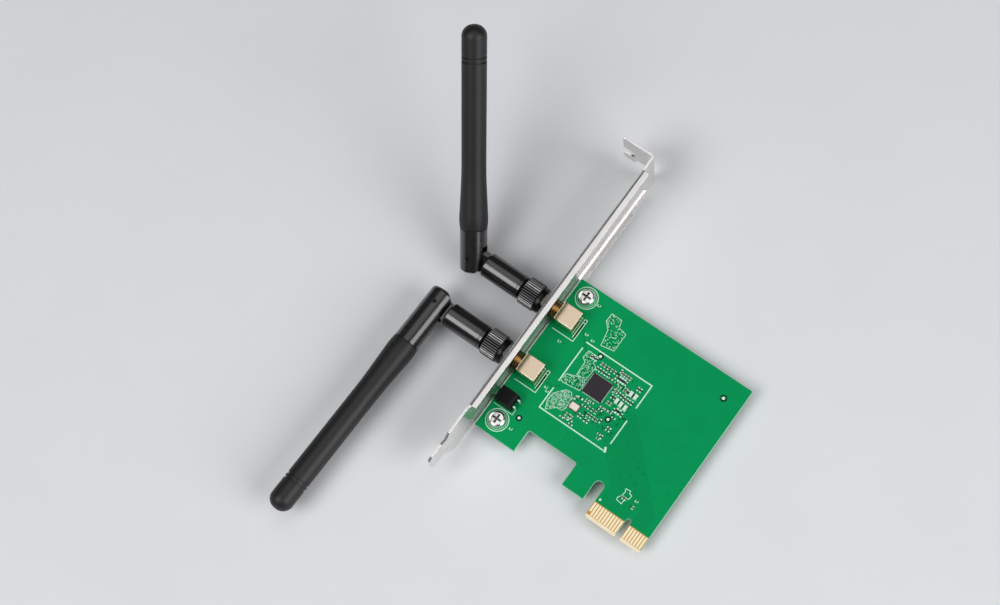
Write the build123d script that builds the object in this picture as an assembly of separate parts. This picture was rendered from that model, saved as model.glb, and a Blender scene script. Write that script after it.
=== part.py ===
from build123d import *
import os
from math import cos, pi, sin

# Frame: the origin is the centre of the key slot, on the end of the contact tongue, halfway through the board.
# X runs from the bracket to the far end, Y from the contacts to the top edge, Z out of the component side.

# Circuit board: its outline, the contact tongue and the cut-outs beside it
BOARD_THICKNESS = 1.57
BODY_HEIGHT = 58.0
KEY_FROM_EDGE = 56.95
KEY_WIDTH = 1.9
KEY_DEPTH = 7.2
CONTACT_PITCH = 1.0
CONTACT_KEY_SPAN = 3.0
CONTACTS_BEFORE_KEY = 11
CONTACTS_AFTER_KEY = 7
CONTACT_WIDTH = 0.7
CONTACT_LENGTH = 4.3
CONTACT_SETBACK = 1.1
SHORT_CONTACT_SETBACK = 2.2
CONTACT_THICKNESS = 0.05
TONGUE_MARGIN = 0.6
TONGUE_BEVEL_HEIGHT = 1.0
TONGUE_BEVEL_DEPTH = 0.4
TONGUE_CORNER = 0.6
FOOT_RISE = 4.1
NOTCH_FROM_EDGE = 15.0
NOTCH_WIDTH = 18.5
NOTCH_DEPTH = 8.2
NOTCH_CORNER = 0.8
RELIEF_WIDTH = 3.5
RELIEF_DEPTH = 7.8
BOARD_CORNER = 0.5

# Bracket: one folded sheet with an ear, a lip along its front edge, a flange behind the board and a tongue
SHEET = 0.86
BEND_RADIUS = 0.5
BOARD_GAP = 1.0
BRACKET_WIDTH = 18.42
BRACKET_LENGTH = 120.02
BRACKET_DROP = 15.27
EAR_DEPTH = 11.0
EAR_WIDTH = 12.4
EAR_SLOT_WIDTH = 4.42
EAR_SLOT_DEPTH = 4.6
EAR_SLOT_FROM_NEAR_EDGE = 7.5
EAR_HOOK_LENGTH = 4.4
EAR_HOOK_WIDTH = 3.5
EAR_HOOK_CORNER = 0.9
SHOULDER_DROP = 2.9
SHOULDER_LENGTH = 3.4
LIP_FROM_TOP = 6.15
LIP_REACH = 0.9
FRONT_LIP_REACH = 1.9
FRONT_LIP_FROM_FOOT = 1.7
LIP_RELIEF_WIDTH = 0.9
FLANGE_FROM_TOP = 15.25
FLANGE_REACH = 1.95
TAB_REACH = 10.2
TAB_WIDTH = 8.4
TAB_CORNER = 1.2
FOLD_RISE = 2.6
TAPER_LENGTH = 4.0
BRACKET_TONGUE_LENGTH = 6.17
BRACKET_TONGUE_WIDTH = 10.19
BRACKET_TONGUE_CORNER = 1.6
JOGGLE_DEPTH = 0.86
JOGGLE_LENGTH = 2.4

# Screws that hold the board to the flange
SCREW_FROM_EDGE = 5.0
SCREW_FROM_TOP = 4.4
SCREW_FROM_FOOT = 5.1
SCREW_SHANK = 2.9
SCREW_HEAD = 5.6
SCREW_HEAD_HEIGHT = 1.9
SCREW_HEAD_ROUND = 1.0
SCREW_TAIL = 1.2
CROSS_LENGTH = 3.2
CROSS_WIDTH = 0.75
CROSS_DEPTH = 1.1
SCREW_HOLE_CLEARANCE = 0.35
TAPPED_CLEARANCE = 0.1

# Antenna jacks: brass block on the board with a threaded barrel through the bracket
JACK_FROM_TOP = 13.9
JACK_SPAN = 20.32
BLOCK_FROM_EDGE = 1.5
BLOCK_LENGTH = 6.8
BLOCK_WIDTH = 6.6
BLOCK_HEIGHT = 6.6
BLOCK_EDGE = 0.2
BARREL_DIAMETER = 6.2
BARREL_OUT = 8.4
BARREL_HOLE_CLEARANCE = 0.4
SOCKET_BORE = 4.65
SOCKET_DEPTH = 3.0
JACK_INSULATOR_DIAMETER = 4.1
JACK_DROP_DIAMETER = 3.0
JACK_PIN_DIAMETER = 1.27
JACK_PIN_TIP = 0.94
JACK_PIN_TIP_LENGTH = 2.6
LEG_SIZE = 0.95
LEG_SPREAD = 5.08
LEG_BELOW_BOARD = 1.3
LEG_HOLE = 1.5
INSERT_CLEARANCE = 0.02
WASHER_DIAMETER = 9.2
WASHER_THICKNESS = 0.6
WASHER_NOTCHES = 10
WASHER_NOTCH_WIDTH = 0.8
WASHER_NOTCH_RADIUS = 3.75
HEX_ACROSS_FLATS = 8.0
HEX_THICKNESS = 2.0
HEX_CHAMFER = 0.35
HARDWARE_CLEARANCE = 0.1

# Solder joints on the back of the board
JOINT_FOOT = 2.3
JOINT_TOP = 1.5
JOINT_HEIGHT = 0.8

# Lamp in its right-angle holder
LED_FROM_FOOT = 12.2
LED_HEIGHT = 2.8
LED_DIAMETER = 3.0
LED_RIM_DIAMETER = 3.8
LED_RIM_LENGTH = 1.0
LED_PROUD = 0.6
LED_HOLE_CLEARANCE = 0.4
LED_LEAD_SIZE = 0.5
LED_LEAD_SPACING = 2.54
LED_LEAD_RUN = 0.45
LED_LEAD_HOLE = 0.9
HOLDER_FROM_EDGE = 1.0
HOLDER_LENGTH = 6.2
HOLDER_WIDTH = 4.9
HOLDER_HEIGHT = 5.2
HOLDER_ROUND = 2.0
HOLDER_SLOT_WIDTH = 3.6

# Radio chip, crystal and the small parts around them, placed from the top left corner of the board
CHIP_X = 24.8
CHIP_V = 26.65
CHIP_SIZE = 7.0
CHIP_HEIGHT = 0.85
CHIP_MARK_RADIUS = 0.35
CHIP_MARK_DEPTH = 0.05
CHIP_MARK_INSET = 0.9
CHIP_JOINTS_A_SIDE = 16
CHIP_JOINT_PITCH = 0.4
CHIP_JOINT_WIDTH = 0.24
CHIP_JOINT_LENGTH = 0.3
CHIP_JOINT_HEIGHT = 0.2
CRYSTAL_X = 22.4
CRYSTAL_V = 35.7
CRYSTAL_LENGTH = 3.2
CRYSTAL_WIDTH = 2.5
CRYSTAL_CASE_HEIGHT = 0.45
CRYSTAL_LID_HEIGHT = 0.25
CRYSTAL_LID_INSET = 0.2
CRYSTAL_CORNER = 0.35
SMALL_PART_LENGTH = 1.0
SMALL_PART_WIDTH = 0.5
SMALL_PART_HEIGHT = 0.5
LARGE_PART_LENGTH = 1.8
LARGE_PART_WIDTH = 1.0
LARGE_PART_HEIGHT = 0.9
END_CAP = 0.22

# Rows of small parts: X from the bracket edge, V from the top edge, count, steps, True where they lie along Y
CAPACITOR_ROWS = [
    (21.4, 19.4, 5, 1.25, 0, True), (28.6, 18.4, 4, 1.0, 0, True), (30.3, 22.4, 3, 0, 1.1, False),
    (32.4, 21.6, 2, 0, 1.1, False), (30.0, 28.6, 2, 1.1, 0, True), (21.6, 39.0, 2, 2.0, 0, True),
]
RESISTOR_ROWS = [
    (24.6, 31.4, 2, 1.5, 0, False), (26.2, 33.4, 3, 1.3, 0, True), (27.2, 35.3, 4, 1.1, 0, True),
    (31.2, 30.9, 2, 1.3, 0, False), (33.7, 38.5, 2, 0.5, 1.4, False), (17.4, 19.3, 2, 1.3, 0, True),
]
INDUCTOR_ROWS = [(34.6, 22.3, 2, 1.7, 0, True), (32.2, 26.7, 3, 1.7, 0.2, True)]

# Capacitors of the contacts: X from the key, Y from the contact end
CONTACT_CAPACITORS = [(-5.65, 11.5), (-4.75, 11.5), (-1.35, 10.5)]

# Tinned tracks round the radio
FENCE_X = 13.4
FENCE_V = 16.35
FENCE_LENGTH = 25.0
FENCE_WIDTH = 25.6
FENCE_RIGHT_RUN = 8.6
FENCE_RIGHT_GAP = 5.2
FENCE_LEFT_START = 2.3
FENCE_LEFT_RUN = 12.7
FENCE_LEFT_GAP = 3.1
FENCE_HOOK_RISE = 1.1
FENCE_HOOK_INSET = 0.5
TRACK_WIDTH = 0.7
TRACK_HEIGHT = 0.12

# Antenna: coupling nut and plug
NUT_GAP = 0.3
NUT_LENGTH = 7.4
NUT_DIAMETER = 9.4
NUT_COLLAR_DIAMETER = 8.7
NUT_COLLAR_LENGTH = 1.5
NUT_END_CHAMFER = 0.4
NUT_REAR_WALL = 1.0
KNURL_TEETH = 36
KNURL_DEPTH = 0.3
THREAD_CLEARANCE = 0.05
FERRULE_SHANK = 5.0
FERRULE_FLANGE = 6.1
FERRULE_FLANGE_THICKNESS = 0.7
FERRULE_IN_BASE = 3.6
FERRULE_BORE = 3.8
SOCKET_END_GAP = 0.2
FACE_GAP = 0.1
RUNNING_CLEARANCE = 0.05
CONTACT_ROD = 1.6

# Antenna: swivel base, elbow and mast
BASE_DIAMETER = 8.4
BASE_LENGTH = 14.6
BASE_EDGE = 0.5
BASE_GROOVE_FROM_NUT = 1.0
BASE_GROOVE_WIDTH = 0.5
BASE_GROOVE_DEPTH = 0.3
PIVOT_FROM_BASE = 5.3
ELBOW_REACH = 5.0
ELBOW_ROUND = 4.0
TAB_THICKNESS = 3.0
TAB_HEIGHT = 6.4
TAB_ROUND = 3.5
TAB_SIDE_CLEARANCE = 0.15
TAB_SWING_CLEARANCE = 0.3
PIN_DIAMETER = 1.4
PIN_RECESS = 0.3
ARM_DIAMETER = 8.8
UPPER_ARM_LENGTH = 9.5
LOWER_ARM_LENGTH = 15.3
ARM_END_ROUND = 1.2
SPIGOT_DIAMETER = 6.4
SPIGOT_LENGTH = 7.0
FEED_DIAMETER = 1.8
FEED_CLEARANCE = 0.05
SLEEVE_LENGTH = 66.2
SLEEVE_ROOT_DIAMETER = 8.9
SLEEVE_FLARE_DIAMETER = 9.3
SLEEVE_FLARE = 2.7
SLEEVE_FLARE_ROUND = 18.0
SLEEVE_WAIST_DIAMETER = 7.85
SLEEVE_WAIST = 17.5
SLEEVE_WAIST_ROUND = 150.0
SLEEVE_TIP_DIAMETER = 7.95
SLEEVE_BORE = 5.6
SLEEVE_TIP_WALL = 3.0
SLEEVE_ROOT_EDGE = 0.25
TIP_ROUND = 3.6
GROOVE_FROM_TIP = 9.45
GROOVE_SPACING = 1.55
GROOVE_WIDTH = 0.6
GROOVE_DEPTH = 0.35
RADIATOR_DIAMETER = 5.2
RADIATOR_WALL = 0.4
RADIATOR_FROM_SPIGOT = 1.5
RADIATOR_LENGTH = 24.0
CORE_DIAMETER = 0.9
CORE_FROM_TIP = 9.0
UPPER_BEND_DEG = 66.4
LOWER_BEND_DEG = 88.6
UPPER_TURN_DEG = 45.0
LOWER_TURN_DEG = 180.0

# Levels and lines worked out from the sizes above
FACE = BOARD_THICKNESS / 2
BACK = -BOARD_THICKNESS / 2
EDGE = -KEY_FROM_EDGE
BOARD_HEIGHT = BODY_HEIGHT + FOOT_RISE
CONTACT_FIRST = -CONTACT_KEY_SPAN / 2 - (CONTACTS_BEFORE_KEY - 1) * CONTACT_PITCH
CONTACT_LAST = CONTACT_KEY_SPAN / 2 + (CONTACTS_AFTER_KEY - 1) * CONTACT_PITCH
TONGUE_LEFT = CONTACT_FIRST - TONGUE_MARGIN
FAR_EDGE = CONTACT_LAST + TONGUE_MARGIN
PLATE_IN = EDGE - BOARD_GAP
PLATE_OUT = PLATE_IN - SHEET
PLATE_LOW = BACK - SHEET
PLATE_HIGH = PLATE_LOW + BRACKET_WIDTH
BRACKET_END = -BRACKET_DROP
BRACKET_TOP = BRACKET_END + BRACKET_LENGTH
TAPER_END = BRACKET_END + BRACKET_TONGUE_LENGTH
TAPER_TOP = TAPER_END + TAPER_LENGTH
LIP_TOP = BRACKET_TOP - LIP_FROM_TOP
FRONT_LIP_END = FOOT_RISE + FRONT_LIP_FROM_FOOT
FLANGE_TOP =BRACKET_TOP - FLANGE_FROM_TOP
LOWER_SCREW = FOOT_RISE + SCREW_FROM_FOOT
LAMP_LINE = FOOT_RISE + LED_FROM_FOOT
AXIS_HEIGHT = FACE + BLOCK_HEIGHT / 2
BARREL_END = PLATE_OUT - BARREL_OUT
SOCKET_END = BARREL_END + SOCKET_DEPTH
NUT_START = PLATE_OUT - WASHER_THICKNESS - HEX_THICKNESS - NUT_GAP
NUT_END = NUT_START - NUT_LENGTH
BASE_START = NUT_END - NUT_GAP
BASE_END = BASE_START - BASE_LENGTH
PIVOT = BASE_END - PIVOT_FROM_BASE


def from_edge(x):
    """X of a point measured from the board's bracket edge."""
    return EDGE + x


def from_top(v):
    """Y of a point measured down from the board's top edge."""
    return BOARD_HEIGHT - v


def block(x0, x1, y0, y1, z0, z1):
    """Rectangular block between two corners."""
    return Pos((x0 + x1) / 2, (y0 + y1) / 2, (z0 + z1) / 2) * Box(x1 - x0, y1 - y0, z1 - z0)


def bar_x(x0, x1, diameter):
    """Round bar along X on the local axis."""
    return Pos((x0 + x1) / 2, 0, 0) * Rot(0, 90, 0) * Cylinder(diameter / 2, abs(x1 - x0))


def bar_z(z0, z1, diameter):
    """Round bar along Z on the local axis."""
    return Pos(0, 0, (z0 + z1) / 2) * Cylinder(diameter / 2, abs(z1 - z0))


def outline_face(points):
    """Flat face inside a closed chain of points."""
    return make_face(Polyline(*points, close=True))


def corner_of(face, x, y):
    """Corner of a flat face nearest to a point."""
    return face.vertices().sort_by_distance((x, y, 0))[0]


def turned(points):
    """Solid of revolution about X from points of distance along X and radius."""
    return revolve(outline_face([(x, r) for x, r in points]), Axis.X, 360)


def save(name, shape):
    """Write one node, as a group where it is several solids."""
    solids = shape.solids() if hasattr(shape, "solids") else ShapeList(s for p in shape for s in p.solids())
    whole = solids[0] if len(solids) == 1 else Compound(children=list(solids))
    whole.label = name
    export_step(whole, os.path.join("parts", name + ".step"))


# Circuit board
def leg_places(jack_y):
    """X and Y of the four legs and the centre lead of one jack."""
    middle = from_edge(BLOCK_FROM_EDGE + BLOCK_LENGTH / 2)
    half = LEG_SPREAD / 2
    corners = [(middle + i * half, jack_y + j * half) for i in (-1, 1) for j in (-1, 1)]
    return corners + [(middle, jack_y)]


def lead_places():
    """X and Y of the two lamp leads where they enter the board."""
    x = from_edge(HOLDER_FROM_EDGE + HOLDER_LENGTH) + LED_LEAD_RUN
    return [(x, LAMP_LINE + i * LED_LEAD_SPACING / 2) for i in (-1, 1)]


def screw_places():
    """X and Y of the two screws."""
    return [(from_edge(SCREW_FROM_EDGE), y) for y in (from_top(SCREW_FROM_TOP), LOWER_SCREW)]


def jack_lines():
    """Y of the upper and the lower jack axis."""
    return [from_top(JACK_FROM_TOP + k * JACK_SPAN) for k in (0, 1)]


def round_topped_slot(x, y0, depth, width):
    """Slot cutter that is open at y0 and has a round top."""
    cutter = block(x - width / 2, x + width / 2, y0 - 1, y0 + depth - width / 2, BACK - 1, FACE + 1)
    return cutter + Pos(x, y0 + depth - width / 2, 0) * bar_z(BACK - 1, FACE + 1, width)


def make_board():
    """Board with its contact tongue, key slot, relief slot, notch and holes."""
    face = outline_face([
        (EDGE, FOOT_RISE), (EDGE, BOARD_HEIGHT), (FAR_EDGE, BOARD_HEIGHT), (FAR_EDGE, TONGUE_CORNER),
        (FAR_EDGE - TONGUE_CORNER, 0), (TONGUE_LEFT + TONGUE_CORNER, 0), (TONGUE_LEFT, TONGUE_CORNER),
        (TONGUE_LEFT, FOOT_RISE),
    ])
    tops = [corner_of(face, EDGE, BOARD_HEIGHT), corner_of(face, FAR_EDGE, BOARD_HEIGHT)]
    face = fillet(tops, BOARD_CORNER)
    board = Pos(0, 0, BACK) * extrude(face, BOARD_THICKNESS)
    notch_left = from_edge(NOTCH_FROM_EDGE)
    notch = block(notch_left, notch_left + NOTCH_WIDTH, FOOT_RISE - 1, FOOT_RISE + NOTCH_DEPTH, BACK - 1, FACE + 1)
    notch = fillet(notch.edges().filter_by(Axis.Z).group_by(Axis.Y)[-1], NOTCH_CORNER)
    board -= notch
    board -= round_topped_slot(TONGUE_LEFT - RELIEF_WIDTH / 2, FOOT_RISE, RELIEF_DEPTH, RELIEF_WIDTH)
    board -= round_topped_slot(0, 0, KEY_DEPTH, KEY_WIDTH)
    for side in (-1, 1):
        wedge = outline_face([
            (-1, side * (FACE + 1)), (-1, side * (FACE - TONGUE_BEVEL_DEPTH)),
            (0, side * (FACE - TONGUE_BEVEL_DEPTH)), (TONGUE_BEVEL_HEIGHT, side * FACE),
            (TONGUE_BEVEL_HEIGHT, side * (FACE + 1)),
        ])
        board -= extrude(Plane.YZ * wedge, FAR_EDGE - TONGUE_LEFT + 2, both=True)
    for x, y in screw_places():
        board -= Pos(x, y, 0) * bar_z(BACK - 1, FACE + 1, SCREW_SHANK + SCREW_HOLE_CLEARANCE)
    for jack_y in jack_lines():
        for x, y in leg_places(jack_y):
            board -= Pos(x, y, 0) * bar_z(BACK - 1, FACE + 1, LEG_HOLE)
    for x, y in lead_places():
        board -= Pos(x, y, 0) * bar_z(BACK - 1, FACE + 1, LED_LEAD_HOLE)
    return board


def make_contacts(short_contact, z0):
    """Row of edge contacts on one side, with one that mates late."""
    before = [CONTACT_FIRST + k * CONTACT_PITCH for k in range(CONTACTS_BEFORE_KEY)]
    after = [CONTACT_KEY_SPAN / 2 + k * CONTACT_PITCH for k in range(CONTACTS_AFTER_KEY)]
    pads = []
    for index, x in enumerate(before + after):
        low = SHORT_CONTACT_SETBACK if index == short_contact else CONTACT_SETBACK
        high = CONTACT_SETBACK + CONTACT_LENGTH
        half = CONTACT_WIDTH / 2
        pads.append(block(x - half, x + half, low, high, z0, z0 + CONTACT_THICKNESS))
    return pads


# Bracket
def make_plate_and_ear():
    """Side profile of the bent strip, cut to the plate's and the ear's outlines."""
    step = JOGGLE_DEPTH
    joggle_top = (TAPER_TOP + TAPER_END) / 2
    joggle_end = joggle_top - JOGGLE_LENGTH
    strip = outline_face([
        (PLATE_OUT - EAR_DEPTH, BRACKET_TOP - SHEET), (PLATE_OUT - EAR_DEPTH, BRACKET_TOP),
        (PLATE_IN, BRACKET_TOP), (PLATE_IN, joggle_top), (PLATE_IN - step, joggle_end),
        (PLATE_IN - step, BRACKET_END), (PLATE_OUT - step, BRACKET_END), (PLATE_OUT - step, joggle_end),
        (PLATE_OUT, joggle_top), (PLATE_OUT, BRACKET_TOP - SHEET),
    ])
    strip = fillet([corner_of(strip, PLATE_IN, BRACKET_TOP)], BEND_RADIUS + SHEET)
    strip = fillet([corner_of(strip, PLATE_OUT, BRACKET_TOP - SHEET)], BEND_RADIUS)
    low = PLATE_LOW - SHOULDER_DROP
    strip = Pos(0, 0, low) * extrude(strip, PLATE_HIGH - low)
    inset = (BRACKET_WIDTH - BRACKET_TONGUE_WIDTH) / 2
    fold_level = PLATE_LOW + FOLD_RISE
    fold_end = flange_end()
    shoulder_end = BRACKET_TOP - SHOULDER_LENGTH
    lip_level = PLATE_HIGH - FOLD_RISE
    relief_level = PLATE_HIGH - SHEET - BEND_RADIUS
    relief_end = FRONT_LIP_END - LIP_RELIEF_WIDTH
    corner = BRACKET_TONGUE_CORNER
    front = outline_face([
        (BRACKET_TOP, low), (shoulder_end, low), (shoulder_end - SHOULDER_DROP, PLATE_LOW), (LIP_TOP, PLATE_LOW),
        (LIP_TOP, fold_level), (fold_end, fold_level), (fold_end, PLATE_LOW), (TAPER_TOP, PLATE_LOW),
        (TAPER_END, PLATE_LOW + inset), (BRACKET_END + corner, PLATE_LOW + inset),
        (BRACKET_END, PLATE_LOW + inset + corner), (BRACKET_END, PLATE_HIGH - inset - corner),
        (BRACKET_END + corner, PLATE_HIGH - inset), (TAPER_END, PLATE_HIGH - inset),
        (TAPER_TOP, PLATE_HIGH), (relief_end, PLATE_HIGH), (relief_end, relief_level), (FRONT_LIP_END, relief_level),
        (FRONT_LIP_END, lip_level), (LIP_TOP, lip_level), (LIP_TOP, PLATE_HIGH), (BRACKET_TOP, PLATE_HIGH),
    ])
    plate_prism = Pos(PLATE_OUT - step, 0, 0) * extrude(Plane.YZ * front, SHEET + step)
    ear_low = PLATE_HIGH - EAR_WIDTH
    tip = PLATE_OUT - EAR_DEPTH
    slot_mid = PLATE_HIGH - EAR_SLOT_FROM_NEAR_EDGE - EAR_SLOT_WIDTH / 2
    hook_low = slot_mid - EAR_SLOT_WIDTH / 2 - EAR_HOOK_WIDTH
    ear = outline_face([
        (PLATE_OUT, PLATE_HIGH), (tip, PLATE_HIGH), (tip, hook_low + EAR_HOOK_CORNER),
        (tip + EAR_HOOK_CORNER, hook_low), (tip + EAR_HOOK_LENGTH, hook_low),
        (tip + EAR_HOOK_LENGTH, ear_low), (PLATE_OUT, ear_low),
    ])
    slot_end = tip + EAR_SLOT_DEPTH - EAR_SLOT_WIDTH / 2
    slot = Pos((tip - 1 + slot_end) / 2, slot_mid) * Rectangle(slot_end - tip + 1, EAR_SLOT_WIDTH)
    ear -= slot
    ear -= Pos(slot_end, slot_mid) * Circle(EAR_SLOT_WIDTH / 2)
    ear_prism = Pos(0, BRACKET_TOP, 0) * extrude(Plane.XZ * ear, SHEET + BEND_RADIUS + 1)
    return (strip & plate_prism) + (strip & ear_prism)


def flange_end():
    """Y of the flange's lower end, just past the lower screw tab."""
    return LOWER_SCREW - TAB_WIDTH / 2


def make_flange():
    """Folded edge behind the board: a lip, a flange and two screw tabs."""
    reach = PLATE_IN + TAB_REACH
    section = outline_face([
        (PLATE_OUT, PLATE_LOW + FOLD_RISE), (PLATE_IN, PLATE_LOW + FOLD_RISE), (PLATE_IN, BACK),
        (reach, BACK), (reach, PLATE_LOW), (PLATE_OUT, PLATE_LOW),
    ])
    section = fillet([corner_of(section, PLATE_IN, BACK)], BEND_RADIUS)
    section = fillet([corner_of(section, PLATE_OUT, PLATE_LOW)], BEND_RADIUS + SHEET)
    end = flange_end()
    flange = Pos(0, LIP_TOP, 0) * extrude(Plane.XZ * section, LIP_TOP - end)
    z0 = PLATE_LOW - 1
    z1 = BACK + 1
    flange -= block(PLATE_IN + LIP_REACH, reach + 1, FLANGE_TOP, LIP_TOP + 1, z0, z1)
    middles = [y for x, y in screw_places()]
    half = TAB_WIDTH / 2
    gaps = [(middles[0] + half, FLANGE_TOP), (middles[1] + half, middles[0] - half)]
    for y0, y1 in gaps:
        flange -= block(PLATE_IN + FLANGE_REACH, reach + 1, y0, y1, z0, z1)
    tips = flange.edges().filter_by(Axis.Z).group_by(Axis.X)[-1]
    return fillet(tips, TAB_CORNER)


def make_front_lip():
    """Narrow lip turned in over the component side, which stiffens the plate."""
    reach = PLATE_IN + FRONT_LIP_REACH
    under = PLATE_HIGH - SHEET
    section = outline_face([
        (PLATE_OUT, PLATE_HIGH - FOLD_RISE), (PLATE_OUT, PLATE_HIGH), (reach, PLATE_HIGH), (reach, under),
        (PLATE_IN, under), (PLATE_IN, PLATE_HIGH - FOLD_RISE),
    ])
    section = fillet([corner_of(section, PLATE_IN, under)], BEND_RADIUS)
    section = fillet([corner_of(section, PLATE_OUT, PLATE_HIGH)], BEND_RADIUS + SHEET)
    return Pos(0, LIP_TOP, 0) * extrude(Plane.XZ * section, LIP_TOP - FRONT_LIP_END)


def make_bracket():
    """Bracket with its holes for jacks, lamp and screws."""
    bracket = make_plate_and_ear() + make_flange() + make_front_lip()
    for jack_y in jack_lines():
        hole = bar_x(PLATE_OUT - 1, PLATE_IN + 1, BARREL_DIAMETER + BARREL_HOLE_CLEARANCE)
        bracket -= Pos(0, jack_y, AXIS_HEIGHT) * hole
    lamp_hole = bar_x(PLATE_OUT - 1, PLATE_IN + 1, LED_DIAMETER + LED_HOLE_CLEARANCE)
    bracket -= Pos(0, LAMP_LINE, FACE + LED_HEIGHT) * lamp_hole
    for x, y in screw_places():
        bracket -= Pos(x, y, 0) * bar_z(PLATE_LOW - 1, BACK + 1, SCREW_SHANK + TAPPED_CLEARANCE)
    return bracket


def make_screws():
    """Pan-head cross-recess screws, heads on the component side."""
    head = bar_z(FACE, FACE + SCREW_HEAD_HEIGHT, SCREW_HEAD)
    head = fillet(head.edges().group_by(Axis.Z)[-1], SCREW_HEAD_ROUND)
    top = FACE + SCREW_HEAD_HEIGHT
    half = CROSS_LENGTH / 2
    thin = CROSS_WIDTH / 2
    head -= block(-half, half, -thin, thin, top - CROSS_DEPTH, top + 1)
    head -= block(-thin, thin, -half, half, top - CROSS_DEPTH, top + 1)
    screw = head + bar_z(PLATE_LOW - SCREW_TAIL, FACE, SCREW_SHANK)
    return [Pos(x, y, 0) * screw for x, y in screw_places()]


# Antenna jacks
def make_jack():
    """Brass block, four legs and the bored barrel, about the jack axis."""
    x0 = from_edge(BLOCK_FROM_EDGE)
    half = BLOCK_WIDTH / 2
    jack = block(x0, x0 + BLOCK_LENGTH, -half, half, -BLOCK_HEIGHT / 2, BLOCK_HEIGHT / 2)
    jack = fillet(jack.edges(), BLOCK_EDGE)
    jack += bar_x(BARREL_END, x0 + BLOCK_LENGTH / 2, BARREL_DIAMETER)
    leg = LEG_SIZE / 2
    for x, y in leg_places(0)[:4]:
        low = BACK - LEG_BELOW_BOARD - AXIS_HEIGHT
        jack += block(x - leg, x + leg, y - leg, y + leg, low, -BLOCK_HEIGHT / 2 + BLOCK_EDGE)
    jack -= bar_x(BARREL_END - 1, SOCKET_END, SOCKET_BORE)
    jack -= bar_x(SOCKET_END - 1, x0 + BLOCK_LENGTH / 2, JACK_INSULATOR_DIAMETER)
    bend_top = JACK_PIN_DIAMETER / 2 + INSERT_CLEARANCE
    jack -= Pos(x0 + BLOCK_LENGTH / 2, 0, 0) * bar_z(-BLOCK_HEIGHT / 2 - 1, bend_top, JACK_DROP_DIAMETER)
    return jack


def make_jack_pin():
    """Centre conductor: a stepped rod that turns down through the board."""
    middle = from_edge(BLOCK_FROM_EDGE + BLOCK_LENGTH / 2)
    low = BACK - LEG_BELOW_BOARD - AXIS_HEIGHT
    pin = bar_x(SOCKET_END, middle, JACK_PIN_DIAMETER)
    pin += bar_x(SOCKET_END - JACK_PIN_TIP_LENGTH, SOCKET_END, JACK_PIN_TIP)
    pin += Pos(middle, 0, 0) * bar_z(low, JACK_PIN_DIAMETER / 2, JACK_PIN_DIAMETER)
    return pin


def make_jack_insulator():
    """White insulator that carries the centre conductor."""
    middle = from_edge(BLOCK_FROM_EDGE + BLOCK_LENGTH / 2)
    gap = 2 * INSERT_CLEARANCE
    insulator = bar_x(SOCKET_END, middle - INSERT_CLEARANCE, JACK_INSULATOR_DIAMETER - gap)
    insulator += Pos(middle, 0, 0) * bar_z(-BLOCK_HEIGHT / 2, 0, JACK_DROP_DIAMETER - gap)
    insulator -= bar_x(SOCKET_END - 1, middle, JACK_PIN_DIAMETER + gap)
    insulator -= Pos(middle, 0, 0) * bar_z(-BLOCK_HEIGHT / 2 - 1, JACK_PIN_DIAMETER, JACK_PIN_DIAMETER + gap)
    return insulator


def make_lock_washer():
    """Internal-tooth lock washer against the bracket."""
    inner = PLATE_OUT - WASHER_THICKNESS
    washer = bar_x(inner, PLATE_OUT, WASHER_DIAMETER)
    washer -= bar_x(inner - 1, PLATE_OUT + 1, BARREL_DIAMETER + HARDWARE_CLEARANCE)
    half = WASHER_NOTCH_WIDTH / 2
    notch = block(inner - 1, PLATE_OUT + 1, 0, WASHER_NOTCH_RADIUS, -half, half)
    for k in range(WASHER_NOTCHES):
        washer -= Rot(k * 360 / WASHER_NOTCHES, 0, 0) * notch
    return washer


def make_jack_nut():
    """Hexagon nut with turned-off corners."""
    x1 = PLATE_OUT - WASHER_THICKNESS
    x0 = x1 - HEX_THICKNESS
    hexagon = RegularPolygon(HEX_ACROSS_FLATS / 2, 6, major_radius=False)
    nut = Pos(x0, 0, 0) * extrude(Plane.YZ * hexagon, HEX_THICKNESS)
    corner = HEX_ACROSS_FLATS / 2 / cos(pi / 6)
    crown = turned([
        (x0, 0), (x0, corner - HEX_CHAMFER), (x0 + HEX_CHAMFER, corner), (x1 - HEX_CHAMFER, corner),
        (x1, corner - HEX_CHAMFER), (x1, 0),
    ])
    nut = nut & crown
    return nut - bar_x(x0 - 1, x1 + 1, BARREL_DIAMETER + HARDWARE_CLEARANCE)


def make_solder_joints():
    """Solder cones round the legs and leads on the back of the board."""
    cone = Pos(0, 0, BACK - JOINT_HEIGHT / 2) * Cone(JOINT_TOP / 2, JOINT_FOOT / 2, JOINT_HEIGHT)
    gap = 2 * INSERT_CLEARANCE
    joints = []
    for jack_y in jack_lines():
        places = leg_places(jack_y)
        hole = block(-LEG_SIZE / 2 - gap, LEG_SIZE / 2 + gap, -LEG_SIZE / 2 - gap, LEG_SIZE / 2 + gap, BACK - 2, FACE)
        joints += [Pos(x, y, 0) * (cone - hole) for x, y in places[:4]]
        x, y = places[4]
        joints.append(Pos(x, y, 0) * (cone - bar_z(BACK - 2, FACE, JACK_PIN_DIAMETER + gap)))
    half = LED_LEAD_SIZE / 2 + INSERT_CLEARANCE
    small = Pos(0, 0, BACK - JOINT_HEIGHT / 2) * Cone(LED_LEAD_HOLE / 2, JOINT_TOP / 2, JOINT_HEIGHT)
    small -= block(-half, half, -half, half, BACK - 2, FACE)
    return joints + [Pos(x, y, 0) * small for x, y in lead_places()]


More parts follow.
